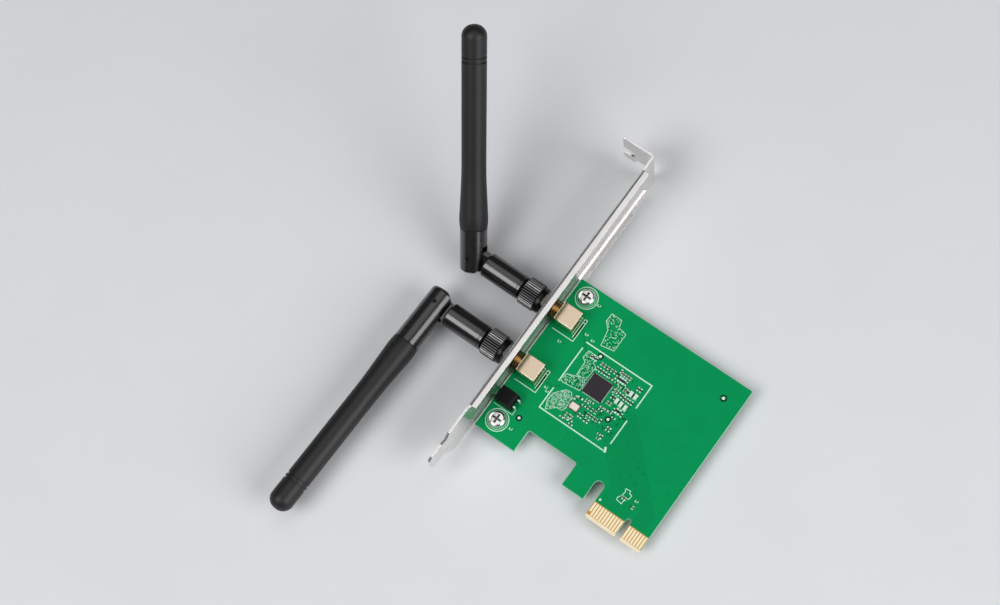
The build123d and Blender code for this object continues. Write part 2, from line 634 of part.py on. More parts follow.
# Lamp
def make_led_holder():
    """Black right-angle holder with a bore for the lamp and a slot for its leads."""
    x0 = from_edge(HOLDER_FROM_EDGE)
    x1 = x0 + HOLDER_LENGTH
    half = HOLDER_WIDTH / 2
    low = -LED_HEIGHT
    holder = block(x0, x1, -half, half, low, low + HOLDER_HEIGHT)
    holder = fillet(holder.edges().filter_by(Axis.Y).group_by(Axis.X)[-1].sort_by(Axis.Z)[-1:], HOLDER_ROUND)
    gap = 2 * INSERT_CLEARANCE
    holder -= bar_x(x0 - 1, x0 + HOLDER_LENGTH / 2, LED_RIM_DIAMETER + gap)
    slot = HOLDER_SLOT_WIDTH / 2
    holder -= block(x0 + HOLDER_LENGTH / 2, x1 + 1, -slot, slot, low - 1, LED_LEAD_SIZE)
    return holder


def make_led_lamp():
    """Lamp body with its rim in the holder and a round end through the bracket."""
    rim_end = from_edge(HOLDER_FROM_EDGE + HOLDER_LENGTH / 2)
    radius = LED_DIAMETER / 2
    tip = PLATE_OUT - LED_PROUD
    lamp = bar_x(tip + radius, rim_end, LED_DIAMETER)
    lamp += Pos(tip + radius, 0, 0) * Sphere(radius)
    return lamp + bar_x(rim_end - LED_RIM_LENGTH, rim_end, LED_RIM_DIAMETER)


def make_led_leads():
    """Two square leads that run back from the lamp and down through the board."""
    start = from_edge(HOLDER_FROM_EDGE + HOLDER_LENGTH / 2)
    half = LED_LEAD_SIZE / 2
    axis = FACE + LED_HEIGHT
    leads = []
    for x, y in lead_places():
        lead = block(start, x + half, y - half, y + half, axis - half, axis + half)
        lead += block(x - half, x + half, y - half, y + half, BACK - LEG_BELOW_BOARD, axis + half)
        leads.append(lead)
    return leads


# Radio chip, crystal and small parts
def make_chip():
    """Flat chip with a pin-one dimple."""
    half = CHIP_SIZE / 2
    chip = block(-half, half, -half, half, FACE, FACE + CHIP_HEIGHT)
    dimple = bar_z(FACE + CHIP_HEIGHT - CHIP_MARK_DEPTH, FACE + CHIP_HEIGHT + 1, 2 * CHIP_MARK_RADIUS)
    chip -= Pos(CHIP_MARK_INSET - half, half - CHIP_MARK_INSET, 0) * dimple
    return Pos(from_edge(CHIP_X), from_top(CHIP_V), 0) * chip


def make_chip_joints():
    """Solder toes along the four sides of the chip."""
    half = CHIP_JOINT_WIDTH / 2
    inner = CHIP_SIZE / 2
    toe = block(inner, inner + CHIP_JOINT_LENGTH, -half, half, FACE, FACE + CHIP_JOINT_HEIGHT)
    first = -(CHIP_JOINTS_A_SIDE - 1) * CHIP_JOINT_PITCH / 2
    middle = Pos(from_edge(CHIP_X), from_top(CHIP_V), 0)
    toes = []
    for side in range(4):
        for k in range(CHIP_JOINTS_A_SIDE):
            toes.append(middle * Rot(0, 0, side * 90) * Pos(0, first + k * CHIP_JOINT_PITCH, 0) * toe)
    return toes


def make_crystal():
    """Crystal in a small case with a metal lid."""
    length = CRYSTAL_LENGTH / 2
    width = CRYSTAL_WIDTH / 2
    middle = FACE + CRYSTAL_CASE_HEIGHT
    case = block(-length, length, -width, width, FACE, middle)
    inset = CRYSTAL_LID_INSET
    lid = block(inset - length, length - inset, inset - width, width - inset, middle, middle + CRYSTAL_LID_HEIGHT)
    lid = fillet(lid.edges().filter_by(Axis.Z), CRYSTAL_CORNER)
    place = Pos(from_edge(CRYSTAL_X), from_top(CRYSTAL_V), 0)
    return place * case, place * lid


class SmallParts:
    """Two-ended parts of one size: their bodies and their metal end caps."""

    def __init__(self, length, width, height):
        self.length = length
        self.width = width
        self.height = height
        self.bodies = []
        self.ends = []

    def place(self, x, y, along_y):
        """Add one part at a point of the board, along X or along Y."""
        half = self.length / 2
        side = self.width / 2
        inner = half - END_CAP
        top = FACE + self.height
        spot = Pos(x, y, 0) * Rot(0, 0, 90 if along_y else 0)
        self.bodies.append(spot * block(-inner, inner, -side, side, FACE, top))
        self.ends.append(spot * block(inner, half, -side, side, FACE, top))
        self.ends.append(spot * block(-half, -inner, -side, side, FACE, top))

    def place_rows(self, rows):
        """Add the parts of a table of rows."""
        for x, v, count, step_x, step_v, along_y in rows:
            for k in range(round(count)):
                self.place(from_edge(x + k * step_x), from_top(v + k * step_v), along_y)


def make_capacitors():
    """Capacitors beside the chip, the crystal and the contacts."""
    parts = SmallParts(SMALL_PART_LENGTH, SMALL_PART_WIDTH, SMALL_PART_HEIGHT)
    parts.place_rows(CAPACITOR_ROWS)
    for x, y in CONTACT_CAPACITORS:
        parts.place(x, y, True)
    return parts


def make_resistors():
    """Resistors below the chip and left of it."""
    parts = SmallParts(SMALL_PART_LENGTH, SMALL_PART_WIDTH, SMALL_PART_HEIGHT)
    parts.place_rows(RESISTOR_ROWS)
    return parts


def make_inductors():
    """Larger wound parts right of the chip."""
    parts = SmallParts(LARGE_PART_LENGTH, LARGE_PART_WIDTH, LARGE_PART_HEIGHT)
    parts.place_rows(INDUCTOR_ROWS)
    return parts


def make_shield_tracks():
    """Raised tinned lines that frame the radio, with gaps and a hooked end."""
    right = FENCE_X + FENCE_LENGTH
    bottom = FENCE_V + FENCE_WIDTH
    right_end = FENCE_V + FENCE_RIGHT_RUN
    right_next = right_end + FENCE_RIGHT_GAP
    left_start = FENCE_V + FENCE_LEFT_START
    left_end = left_start + FENCE_LEFT_RUN
    runs = [
        [(FENCE_X, FENCE_V), (right, FENCE_V), (right, right_end)],
        [(right, right_next), (right, right_next + FENCE_RIGHT_RUN)],
        [(right, bottom - FENCE_HOOK_RISE), (right - FENCE_HOOK_INSET, bottom), (FENCE_X, bottom),
         (FENCE_X, left_end + FENCE_LEFT_GAP)],
        [(FENCE_X, left_end), (FENCE_X, left_start)],
    ]
    tracks = []
    for run in runs:
        points = [(from_edge(x), from_top(v)) for x, v in run]
        face = Sketch()
        for start, end in zip(points, points[1:]):
            face += SlotCenterToCenter((Vector(end) - Vector(start)).length, TRACK_WIDTH).locate(
                Location(((start[0] + end[0]) / 2, (start[1] + end[1]) / 2, 0),
                         (0, 0, Axis.X.direction.get_signed_angle(Vector(end) - Vector(start)))))
        tracks.append(Pos(0, 0, FACE) * extrude(face, TRACK_HEIGHT))
    return tracks


# Antenna, about the jack axis with the mast straight out along minus X
def make_coupling_nut():
    """Knurled nut with a smooth collar, a threaded bore and a rear wall round the ferrule."""
    knurl_start = NUT_START - NUT_COLLAR_LENGTH
    outer = NUT_DIAMETER / 2
    points = []
    for k in range(2 * KNURL_TEETH):
        radius = outer - KNURL_DEPTH * (k % 2)
        angle = k * pi / KNURL_TEETH
        points.append((radius * cos(angle), radius * sin(angle)))
    knurl = Pos(NUT_END, 0, 0) * extrude(Plane.YZ * outline_face(points), NUT_LENGTH - NUT_COLLAR_LENGTH)
    edge = NUT_END_CHAMFER
    ends = turned([
        (NUT_END, 0), (NUT_END, outer - edge), (NUT_END + edge, outer), (knurl_start - edge, outer),
        (knurl_start, outer - edge), (knurl_start, 0),
    ])
    collar = NUT_COLLAR_DIAMETER / 2
    nut = (knurl & ends) + turned([
        (knurl_start, 0), (knurl_start, collar), (NUT_START - edge, collar), (NUT_START, collar - edge), (NUT_START, 0),
    ])
    nut -= bar_x(NUT_END + NUT_REAR_WALL, NUT_START + 1, BARREL_DIAMETER + 2 * THREAD_CLEARANCE)
    return nut - bar_x(NUT_END - 1, NUT_START, FERRULE_SHANK + 2 * RUNNING_CLEARANCE)


def make_ferrule():
    """Metal tube that fits the jack's socket and is moulded into the base."""
    mouth = BARREL_END - FACE_GAP
    flange_back = mouth - FERRULE_FLANGE_THICKNESS
    end = BASE_START - FERRULE_IN_BASE
    tip = SOCKET_END - SOCKET_END_GAP
    ferrule = bar_x(mouth, tip, SOCKET_BORE - 2 * RUNNING_CLEARANCE)
    ferrule += bar_x(flange_back, mouth, FERRULE_FLANGE)
    ferrule += bar_x(end, flange_back, FERRULE_SHANK)
    return ferrule - bar_x(end - 1, tip + 1, FERRULE_BORE)


def make_plug_insulator():
    """White insulator inside the ferrule."""
    end = BASE_START - FERRULE_IN_BASE
    tip = SOCKET_END - SOCKET_END_GAP
    insulator = bar_x(end, tip, FERRULE_BORE - 2 * INSERT_CLEARANCE)
    return insulator - bar_x(end - 1, tip + 1, CONTACT_ROD + 2 * INSERT_CLEARANCE)


def make_plug_contact():
    """Centre contact, bored to take the jack's pin."""
    end = BASE_START - FERRULE_IN_BASE
    tip = SOCKET_END - SOCKET_END_GAP
    bore_end = SOCKET_END - JACK_PIN_TIP_LENGTH - SOCKET_END_GAP
    contact = bar_x(end, tip, CONTACT_ROD)
    return contact - bar_x(bore_end, tip + 1, JACK_PIN_TIP + 2 * RUNNING_CLEARANCE)


def make_base():
    """Swivel base: a turned body with a flat tab for the elbow."""
    radius = BASE_DIAMETER / 2
    groove = BASE_START - BASE_GROOVE_FROM_NUT
    neck = radius - BASE_GROOVE_DEPTH
    base = turned([
        (BASE_START, 0), (BASE_START, radius - BASE_EDGE), (BASE_START - BASE_EDGE, radius), (groove, radius),
        (groove, neck), (groove - BASE_GROOVE_WIDTH, neck), (groove - BASE_GROOVE_WIDTH, radius),
        (BASE_END + BASE_EDGE, radius), (BASE_END, radius - BASE_EDGE), (BASE_END, 0),
    ])
    half = TAB_THICKNESS / 2
    tab = block(PIVOT, BASE_END + 1, -TAB_HEIGHT / 2, TAB_HEIGHT / 2, -half, half)
    tab += Pos(PIVOT, 0, 0) * bar_z(-half, half, 2 * TAB_ROUND)
    base += tab
    base -= Pos(PIVOT, 0, 0) * bar_z(-half - 1, half + 1, PIN_DIAMETER + 2 * RUNNING_CLEARANCE)
    ferrule_end = BASE_START - FERRULE_IN_BASE
    base -= bar_x(ferrule_end, BASE_START + 1, FERRULE_SHANK + 2 * INSERT_CLEARANCE)
    return base - bar_x(BASE_END, ferrule_end + 1, FEED_DIAMETER + 2 * FEED_CLEARANCE)


def make_base_feed():
    """Coaxial feed inside the base, from the contact to the elbow."""
    return bar_x(BASE_END, BASE_START - FERRULE_IN_BASE, FEED_DIAMETER)


# Mast, about the elbow pin with the mast along minus X
def make_arm(arm):
    """Forked arm: a round bar whose inner end corner is rounded about the pin, slotted for the tab."""
    radius = ARM_DIAMETER / 2
    side = outline_face([
        (-arm - 1, -radius - 1), (-arm - 1, radius), (ELBOW_REACH, radius), (ELBOW_REACH, -radius - 1),
    ])
    side = fillet([corner_of(side, ELBOW_REACH, radius)], ELBOW_ROUND)
    rounded = Pos(0, 0, -radius - 1) * extrude(side, ARM_DIAMETER + 2)
    half_bar = outline_face([(-arm, 0), (-arm, radius), (ELBOW_REACH, radius), (ELBOW_REACH, 0)])
    half_bar = fillet([corner_of(half_bar, ELBOW_REACH, radius)], ARM_END_ROUND)
    bar = revolve(half_bar, Axis.X, 360)
    shape = bar & rounded
    swing = TAB_ROUND + TAB_SWING_CLEARANCE
    half = TAB_THICKNESS / 2 + TAB_SIDE_CLEARANCE
    shape -= block(0, ELBOW_REACH + 1, -swing, radius + 1, -half, half)
    shape -= block(-swing, 1, 0, radius + 1, -half, half)
    shape -= bar_z(-half, half, 2 * swing)
    shape += bar_x(-arm - SPIGOT_LENGTH, -arm, SPIGOT_DIAMETER)
    shape -= bar_x(-arm - SPIGOT_LENGTH - 1, 0, FEED_DIAMETER + 2 * FEED_CLEARANCE)
    return shape - bar_z(-radius - 1, radius + 1, PIN_DIAMETER + 2 * INSERT_CLEARANCE)


def make_hinge_pin():
    """Elbow pin, a little short of the arm's sides."""
    half = ARM_DIAMETER / 2 - PIN_RECESS
    return bar_z(-half, half, PIN_DIAMETER)


def make_sleeve(arm):
    """Sleeve with a flared root, a slim waist, two ring grooves and a rounded tip."""
    root = SLEEVE_ROOT_DIAMETER / 2
    flare = SLEEVE_FLARE_DIAMETER / 2
    waist = SLEEVE_WAIST_DIAMETER / 2
    tip = SLEEVE_TIP_DIAMETER / 2
    end = -arm - SLEEVE_LENGTH
    skin = outline_face([
        (end, 0), (-arm, 0), (-arm, root - SLEEVE_ROOT_EDGE), (-arm - SLEEVE_ROOT_EDGE, root),
        (-arm - SLEEVE_FLARE, flare), (-arm - SLEEVE_WAIST, waist), (end, tip),
    ])
    skin = fillet([corner_of(skin, -arm - SLEEVE_FLARE, flare)], SLEEVE_FLARE_ROUND)
    skin = fillet([corner_of(skin, -arm - SLEEVE_WAIST, waist)], SLEEVE_WAIST_ROUND)
    skin = fillet([corner_of(skin, end, tip)], TIP_ROUND)
    sleeve = revolve(skin, Axis.X, 360)
    gap = 2 * INSERT_CLEARANCE
    spigot_end = arm + SPIGOT_LENGTH
    sleeve -= bar_x(-spigot_end, -arm + 1, SPIGOT_DIAMETER + gap)
    sleeve -= bar_x(end + SLEEVE_TIP_WALL, -spigot_end + 1, SLEEVE_BORE)
    share = (SLEEVE_LENGTH - GROOVE_FROM_TIP - SLEEVE_WAIST) / (SLEEVE_LENGTH - SLEEVE_WAIST)
    around = SLEEVE_WAIST_DIAMETER + (SLEEVE_TIP_DIAMETER - SLEEVE_WAIST_DIAMETER) * share
    for k in (0, 1):
        x = end + GROOVE_FROM_TIP + k * GROOVE_SPACING
        ring = bar_x(x, x + GROOVE_WIDTH, SLEEVE_ROOT_DIAMETER + 1)
        sleeve -= ring - bar_x(x - 1, x + GROOVE_WIDTH + 1, around - 2 * GROOVE_DEPTH)
    return sleeve


def radiator_end(arm):
    """Distance from the pin to the closed end of the radiator tube."""
    return arm + SPIGOT_LENGTH + RADIATOR_FROM_SPIGOT + RADIATOR_LENGTH


def make_radiator(arm):
    """Brass tube of the dipole, closed round the feed at its far end."""
    end = -radiator_end(arm)
    inner = RADIATOR_DIAMETER - 2 * RADIATOR_WALL
    tube = bar_x(end, end + RADIATOR_LENGTH, RADIATOR_DIAMETER)
    tube -= bar_x(end + RADIATOR_WALL, end + RADIATOR_LENGTH + 1, inner)
    return tube - bar_x(end - 1, end + 1, FEED_DIAMETER + 2 * INSERT_CLEARANCE)


def make_mast_feed(arm):
    """Coaxial feed through the arm, with its bare core as the upper half of the dipole."""
    start = -TAB_ROUND - TAB_SWING_CLEARANCE
    end = -radiator_end(arm)
    feed = bar_x(end, start, FEED_DIAMETER)
    return feed + bar_x(CORE_FROM_TIP - SLEEVE_LENGTH - arm, end, CORE_DIAMETER)


def save_antenna(name, jack_y, turn, bend, arm):
    """Write the pieces of one antenna, turned on its jack and bent at its elbow."""
    seat = Pos(0, jack_y, AXIS_HEIGHT) * Rot(turn, 0, 0)
    elbow = seat * Pos(PIVOT, 0, 0) * Rot(0, 0, -bend)
    for part, shape in (
        ("coupling_nut", make_coupling_nut()), ("ferrule", make_ferrule()), ("plug_insulator", make_plug_insulator()),
        ("plug_contact", make_plug_contact()), ("base", make_base()), ("base_feed", make_base_feed()),
    ):
        save(name + "_" + part, seat * shape)
    for part, shape in (
        ("arm", make_arm(arm)), ("hinge_pin", make_hinge_pin()), ("sleeve", make_sleeve(arm)),
        ("radiator", make_radiator(arm)), ("mast_feed", make_mast_feed(arm)),
    ):
        save(name + "_" + part, elbow * shape)


os.makedirs("parts", exist_ok=True)
upper_y, lower_y = jack_lines()
upper_seat = Pos(0, upper_y, AXIS_HEIGHT)
lower_seat = Pos(0, lower_y, AXIS_HEIGHT)
seats = (upper_seat, lower_seat)

save("circuit_board", make_board())
save("front_contacts", make_contacts(0, FACE))
save("rear_contacts", make_contacts(CONTACTS_BEFORE_KEY + CONTACTS_AFTER_KEY - 2, BACK - CONTACT_THICKNESS))
save("bracket", make_bracket())
save("bracket_screws", make_screws())
save("upper_jack", upper_seat * make_jack())
save("lower_jack", lower_seat * make_jack())
save("jack_insulators", [seat * make_jack_insulator() for seat in seats])
save("jack_pins", [seat * make_jack_pin() for seat in seats])
save("lock_washers", [seat * make_lock_washer() for seat in seats])
save("jack_nuts", [seat * make_jack_nut() for seat in seats])
save("solder_joints", make_solder_joints())

lamp_seat = Pos(0, LAMP_LINE, FACE + LED_HEIGHT)
save("led_holder", lamp_seat * make_led_holder())
save("led_lamp", lamp_seat * make_led_lamp())
save("led_leads", make_led_leads())

crystal_case, crystal_lid = make_crystal()
capacitors = make_capacitors()
resistors = make_resistors()
inductors = make_inductors()
save("radio_chip", make_chip())
save("chip_joints", make_chip_joints())
save("crystal_case", crystal_case)
save("crystal_lid", crystal_lid)
save("capacitors", capacitors.bodies)
save("resistors", resistors.bodies)
save("inductors", inductors.bodies)
save("part_ends", capacitors.ends + resistors.ends + inductors.ends)
save("shield_tracks", make_shield_tracks())

save_antenna("upper", upper_y, UPPER_TURN_DEG, UPPER_BEND_DEG, UPPER_ARM_LENGTH)
save_antenna("lower", lower_y, LOWER_TURN_DEG, LOWER_BEND_DEG, LOWER_ARM_LENGTH)
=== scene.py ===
"""Dressed view of a wireless expansion card with two folding antennas."""

import logging
import math
import random
from dataclasses import dataclass, field
from enum import Enum
from typing import Iterable, Sequence

import bpy
from mathutils import Matrix, Vector


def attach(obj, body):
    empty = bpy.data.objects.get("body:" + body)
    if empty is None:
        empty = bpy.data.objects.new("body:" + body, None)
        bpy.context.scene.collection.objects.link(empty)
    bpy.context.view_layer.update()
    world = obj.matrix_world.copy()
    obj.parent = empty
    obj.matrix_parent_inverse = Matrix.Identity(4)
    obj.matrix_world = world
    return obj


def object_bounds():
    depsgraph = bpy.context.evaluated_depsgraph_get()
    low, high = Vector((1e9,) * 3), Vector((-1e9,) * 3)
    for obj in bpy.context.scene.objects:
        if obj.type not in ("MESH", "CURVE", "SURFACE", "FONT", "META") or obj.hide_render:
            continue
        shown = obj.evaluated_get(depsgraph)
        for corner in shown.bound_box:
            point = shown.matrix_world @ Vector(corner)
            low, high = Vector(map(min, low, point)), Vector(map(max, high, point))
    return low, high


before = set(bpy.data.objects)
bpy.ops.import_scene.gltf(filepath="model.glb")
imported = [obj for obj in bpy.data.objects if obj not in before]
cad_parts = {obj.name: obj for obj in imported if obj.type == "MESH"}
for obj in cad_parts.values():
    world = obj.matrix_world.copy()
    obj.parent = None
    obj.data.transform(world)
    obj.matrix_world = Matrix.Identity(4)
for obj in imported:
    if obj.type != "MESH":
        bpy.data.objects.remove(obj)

LOG = logging.getLogger("wireless_card")
MM = 0.001
CAD_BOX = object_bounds()
Point2 = tuple[float, float]
Box = tuple[float, float, float, float]

# Noise keeps to the middle of its range, so the gloss is spread over that part, and no surface is smoother than this
NOISE_LOW, NOISE_HIGH = 0.25, 0.75
SMOOTHEST = 0.02
# Least cosine that a mitre is drawn out by, so that sharp corners stay short
MITRE_LIMIT = 0.4
# Points of a mesh that agree to a micrometre are one point
WELDS_PER_METRE = 1e6


def linear(colour: str) -> tuple[float, float, float, float]:
    """Turn an sRGB hex value into linear light.

    Args:
        colour: Six hex digits after a hash sign.

    Returns:
        Red, green, blue and full alpha as linear values.
    """
    parts = [int(colour[k:k + 2], 16) / 255 for k in (1, 3, 5)]
    parts = [c / 12.92 if c <= 0.04045 else ((c + 0.055) / 1.055) ** 2.4 for c in parts]
    return parts[0], parts[1], parts[2], 1.0


def feed(tree: bpy.types.NodeTree, node: bpy.types.Node, inputs: dict) -> None:
    """Set or link the inputs of a node.

    Args:
        tree: Node tree that holds the node.
        node: Node whose inputs are set.
        inputs: Socket name or index to a value, or to an output socket to link from.
    """
    for key, value in inputs.items():
        if isinstance(value, bpy.types.NodeSocket):
            tree.links.new(value, node.inputs[key])
        else:
            node.inputs[key].default_value = value


def add_node(tree: bpy.types.NodeTree, kind: str, inputs: dict | None = None, **settings: object) -> bpy.types.Node:
    """Add a node with its settings, its socket values and its links.

    Args:
        tree: Node tree that takes the node.
        kind: Blender's type name of the node.
        inputs: Socket name or index to a value, or to an output socket to link from.
        settings: Attributes of the node itself.

    Returns:
        The new node.
    """
    node = tree.nodes.new(kind)
    for name, value in settings.items():
        setattr(node, name, value)
    feed(tree, node, inputs or {})
    return node


def blend(tree: bpy.types.NodeTree, share: bpy.types.NodeSocket, first: object,
          second: object) -> bpy.types.NodeSocket:
    """Mix two colours.

    Args:
        tree: Node tree that takes the node.
        share: Output that says how much of the second colour shows.
        first: Colour, or an output that gives one.
        second: Colour, or an output that gives one.

    Returns:
        The output with the mixed colour.
    """
    return add_node(tree, "ShaderNodeMix", {0: share, 6: first, 7: second}, data_type="RGBA").outputs[2]


def reckon(tree: bpy.types.NodeTree, operation: str, first: bpy.types.NodeSocket,
           second: bpy.types.NodeSocket | float | None = None) -> bpy.types.NodeSocket:
    """Add one step of arithmetic.

    Args:
        tree: Node tree that takes the node.
        operation: Blender's name of the operation.
        first: Output that it works on.
        second: The other value or output, where the operation takes one.

    Returns:
        The output with the result.
    """
    inputs = {0: first} if second is None else {0: first, 1: second}
    return add_node(tree, "ShaderNodeMath", inputs, operation=operation).outputs[0]


def start_material(name: str) -> tuple[bpy.types.Material, bpy.types.NodeTree, bpy.types.Node]:
    """Start a material with nodes.

    Args:
        name: Name of the real material.

    Returns:
        The material, its node tree and its shader.
    """
    made = bpy.data.materials.new(name)
    made.use_nodes = True
    return made, made.node_tree, made.node_tree.nodes["Principled BSDF"]


class Grain(Enum):
    """How a surface was made, as the direction that its grain is drawn out in."""

    MOULDED = (1.0, 1.0, 1.0)
    ROLLED_ALONG_Y = (1.0, 0.06, 1.0)
    TURNED_ABOUT_X = (8.0, 0.5, 0.5)


@dataclass(frozen=True)
class Finish:
    """One real material: its colours, its gloss and the grain that shows on it."""

    name: str
    colour: str
    tint: str
    roughness: float
    metallic: float = 0.0
    spread: float = 0.08
    grain_mm: float = 1.0
    depth_mm: float = 0.0
    grain: Grain = Grain.MOULDED
    coat: float = 0.0
    coat_roughness: float = 0.12
    specular: float = 0.5
    transmission: float = 0.0
    edge_mm: float = 0.0

    def material(self) -> bpy.types.Material:
        """Build the material: grain mixes two colours, varies the gloss and lifts the surface.

        Returns:
            The finished material.
        """
        made, tree, shader = start_material(self.name)
        place = add_node(tree, "ShaderNodeTexCoord")
        drawn = add_node(tree, "ShaderNodeMapping", {"Vector": place.outputs["Object"], "Scale": self.grain.value})
        noise = add_node(tree, "ShaderNodeTexNoise",
                         {"Vector": drawn.outputs["Vector"], "Scale": 1 / (self.grain_mm * MM), "Detail": 3.0})
        colour = blend(tree, noise.outputs["Fac"], linear(self.colour), linear(self.tint))
        gloss = add_node(tree, "ShaderNodeMapRange", {
            "Value": noise.outputs["Fac"], "From Min": NOISE_LOW, "From Max": NOISE_HIGH,
            "To Min": max(SMOOTHEST, self.roughness - self.spread), "To Max": self.roughness + self.spread})
        feed(tree, shader, {
            "Base Color": colour, "Roughness": gloss.outputs["Result"], "Metallic": self.metallic,
            "Coat Weight": self.coat, "Coat Roughness": self.coat_roughness,
            "Specular IOR Level": self.specular, "Transmission Weight": self.transmission})
        if self.edge_mm:
            eased = add_node(tree, "ShaderNodeBevel", {"Radius": self.edge_mm * MM}, samples=4)
            tree.links.new(eased.outputs["Normal"], shader.inputs["Normal"])
        if self.depth_mm:
            bump = add_node(tree, "ShaderNodeBump", {"Height": noise.outputs["Fac"], "Distance": self.depth_mm * MM})
            if self.edge_mm:
                tree.links.new(eased.outputs["Normal"], bump.inputs["Normal"])
            tree.links.new(bump.outputs["Normal"], shader.inputs["Normal"])
        return made


@dataclass(frozen=True)
class MaskedBoard:
    """Green solder mask over glass epoxy, bare where the contacts are and pale on the cut edges."""

    name: str = "solder_mask_on_glass_epoxy"
    mask: str = "#009A58"
    mask_deep: str = "#018E51"
    laminate: str = "#C8934E"
    cut_edge: str = "#A5DCC0"
    bevel: str = "#F4E6C6"
    mask_edge_mm: float = 5.65
    tongue_mm: float = -12.3
    bevel_mm: float = 1.0
    cloud_mm: float = 9.0
    weave_mm: float = 0.6
    weave_depth_mm: float = 0.01
    weave_strength: float = 0.35
    weave_randomness: float = 0.15
    side_limit: float = 0.5
    roughness: float = 0.45
    specular: float = 0.06

    def material(self) -> bpy.types.Material:
        """Build the material by height above the contact end and by which way a face looks.

        Returns:
            The finished material.
        """
        made, tree, shader = start_material(self.name)
        place = add_node(tree, "ShaderNodeTexCoord")
        parts = add_node(tree, "ShaderNodeSeparateXYZ", {0: place.outputs["Object"]})
        facing = add_node(tree, "ShaderNodeSeparateXYZ", {0: place.outputs["Normal"]})
        cloud = add_node(tree, "ShaderNodeTexNoise", {"Vector": place.outputs["Object"],
                                                      "Scale": 1 / (self.cloud_mm * MM), "Detail": 2.0})
        # The mask pools a little over the copper, which the eye reads as a soft change of green
        green = blend(tree, cloud.outputs["Fac"], linear(self.mask), linear(self.mask_deep))
        below = reckon(tree, "LESS_THAN", parts.outputs["Y"], self.mask_edge_mm * MM)
        past = reckon(tree, "GREATER_THAN", parts.outputs["X"], self.tongue_mm * MM)
        face = blend(tree, reckon(tree, "MULTIPLY", below, past), green, linear(self.laminate))
        upright = reckon(tree, "ABSOLUTE", facing.outputs["Z"])
        side = reckon(tree, "LESS_THAN", upright, self.side_limit)
        edged = blend(tree, side, face, linear(self.cut_edge))
        low = reckon(tree, "LESS_THAN", parts.outputs["Y"], self.bevel_mm * MM)
        colour = blend(tree, low, edged, linear(self.bevel))
        feed(tree, shader, {"Base Color": colour, "Roughness": self.roughness, "Specular IOR Level": self.specular})
        # Glass cloth prints through the mask as a faint square ripple
        weave = add_node(tree, "ShaderNodeTexVoronoi", {
            "Vector": place.outputs["Object"], "Scale": 1 / (self.weave_mm * MM),
            "Randomness": self.weave_randomness})
        bump = add_node(tree, "ShaderNodeBump", {
            "Height": weave.outputs["Distance"], "Strength": self.weave_strength,
            "Distance": self.weave_depth_mm * MM})
        tree.links.new(bump.outputs["Normal"], shader.inputs["Normal"])
        return made


@dataclass(frozen=True)
class KnurledNickel:
    """Plated knurl about an axis along X: near black, with a highlight painted pale along the crests."""

    name: str
    axis_y_mm: float
    axis_z_mm: float = 4.085
    valley: str = "#141315"
    # Colour of the painted highlight along the crests, faded in between the two radii below
    crest: str = "#A3A2A4"
    valley_mm: float = 4.56
    crest_mm: float = 4.66
    roughness: float = 0.32
    metallic: float = 0.6

    def material(self) -> bpy.types.Material:
        """Build the material by the distance from the axis.

        Returns:
            The finished material.
        """
        made, tree, shader = start_material(self.name)
        place = add_node(tree, "ShaderNodeTexCoord")
        axis = (0.0, self.axis_y_mm * MM, self.axis_z_mm * MM)
        off = add_node(tree, "ShaderNodeVectorMath", {0: place.outputs["Object"], 1: axis}, operation="SUBTRACT")
        across = add_node(tree, "ShaderNodeVectorMath", {0: off.outputs[0], 1: (0.0, 1.0, 1.0)}, operation="MULTIPLY")
        radius = add_node(tree, "ShaderNodeVectorMath", {0: across.outputs[0]}, operation="LENGTH")
        # Painted highlight: the colour turns pale as the surface nears the crest radius
        crest_highlight_share = add_node(tree, "ShaderNodeMapRange", {
            "Value": radius.outputs["Value"], "From Min": self.valley_mm * MM, "From Max": self.crest_mm * MM})
        colour = blend(tree, crest_highlight_share.outputs["Result"], linear(self.valley), linear(self.crest))
        feed(tree, shader, {"Base Color": colour, "Roughness": self.roughness, "Metallic": self.metallic})
        return made


@dataclass(frozen=True)
class RecessedZinc:
    """Plated screws that stand along Z in a row along Y: bright heads with painted shade in the cross recess."""

    name: str = "zinc_plated_steel"
    plated: str = "#F4F3F1"
    # Colour of the painted shade down in the cross recess
    painted_recess_shade: str = "#6F6D68"
    axis_x_mm: float = -51.95
    middle_y_mm: float = 33.45
    half_span_mm: float = 24.25
    head_top_mm: float = 2.65
    recess_reach_mm: float = 1.78
    roughness: float = 0.2

    def material(self) -> bpy.types.Material:
        """Build the material by depth below the head's top and by distance from the screw's axis.

        Returns:
            The finished material.
        """
        made, tree, shader = start_material(self.name)
        place = add_node(tree, "ShaderNodeTexCoord")
        parts = add_node(tree, "ShaderNodeSeparateXYZ", {0: place.outputs["Object"]})
        along = reckon(tree, "SUBTRACT", parts.outputs["Y"], self.middle_y_mm * MM)
        off_y = reckon(tree, "SUBTRACT", reckon(tree, "ABSOLUTE", along), self.half_span_mm * MM)
        off_x = reckon(tree, "SUBTRACT", parts.outputs["X"], self.axis_x_mm * MM)
        flat = add_node(tree, "ShaderNodeCombineXYZ", {0: off_x, 1: off_y})
        reach = add_node(tree, "ShaderNodeVectorMath", {0: flat.outputs[0]}, operation="LENGTH")
        near = reckon(tree, "LESS_THAN", reach.outputs["Value"], self.recess_reach_mm * MM)
        sunk = reckon(tree, "LESS_THAN", parts.outputs["Z"], self.head_top_mm * MM)
        # Painted shade: below the head's top and near the axis the colour turns dark
        colour = blend(tree, reckon(tree, "MULTIPLY", near, sunk), linear(self.plated), linear(self.painted_recess_shade))
        feed(tree, shader, {"Base Color": colour, "Roughness": self.roughness, "Metallic": 1.0})
        return made


# Hard gold flash over nickel: a warm pale metal with a soft sheen
HARD_GOLD = Finish("hard_gold_plating", "#FFF3D2", "#FBE8BC", 0.24, 1.0, grain_mm=0.6)
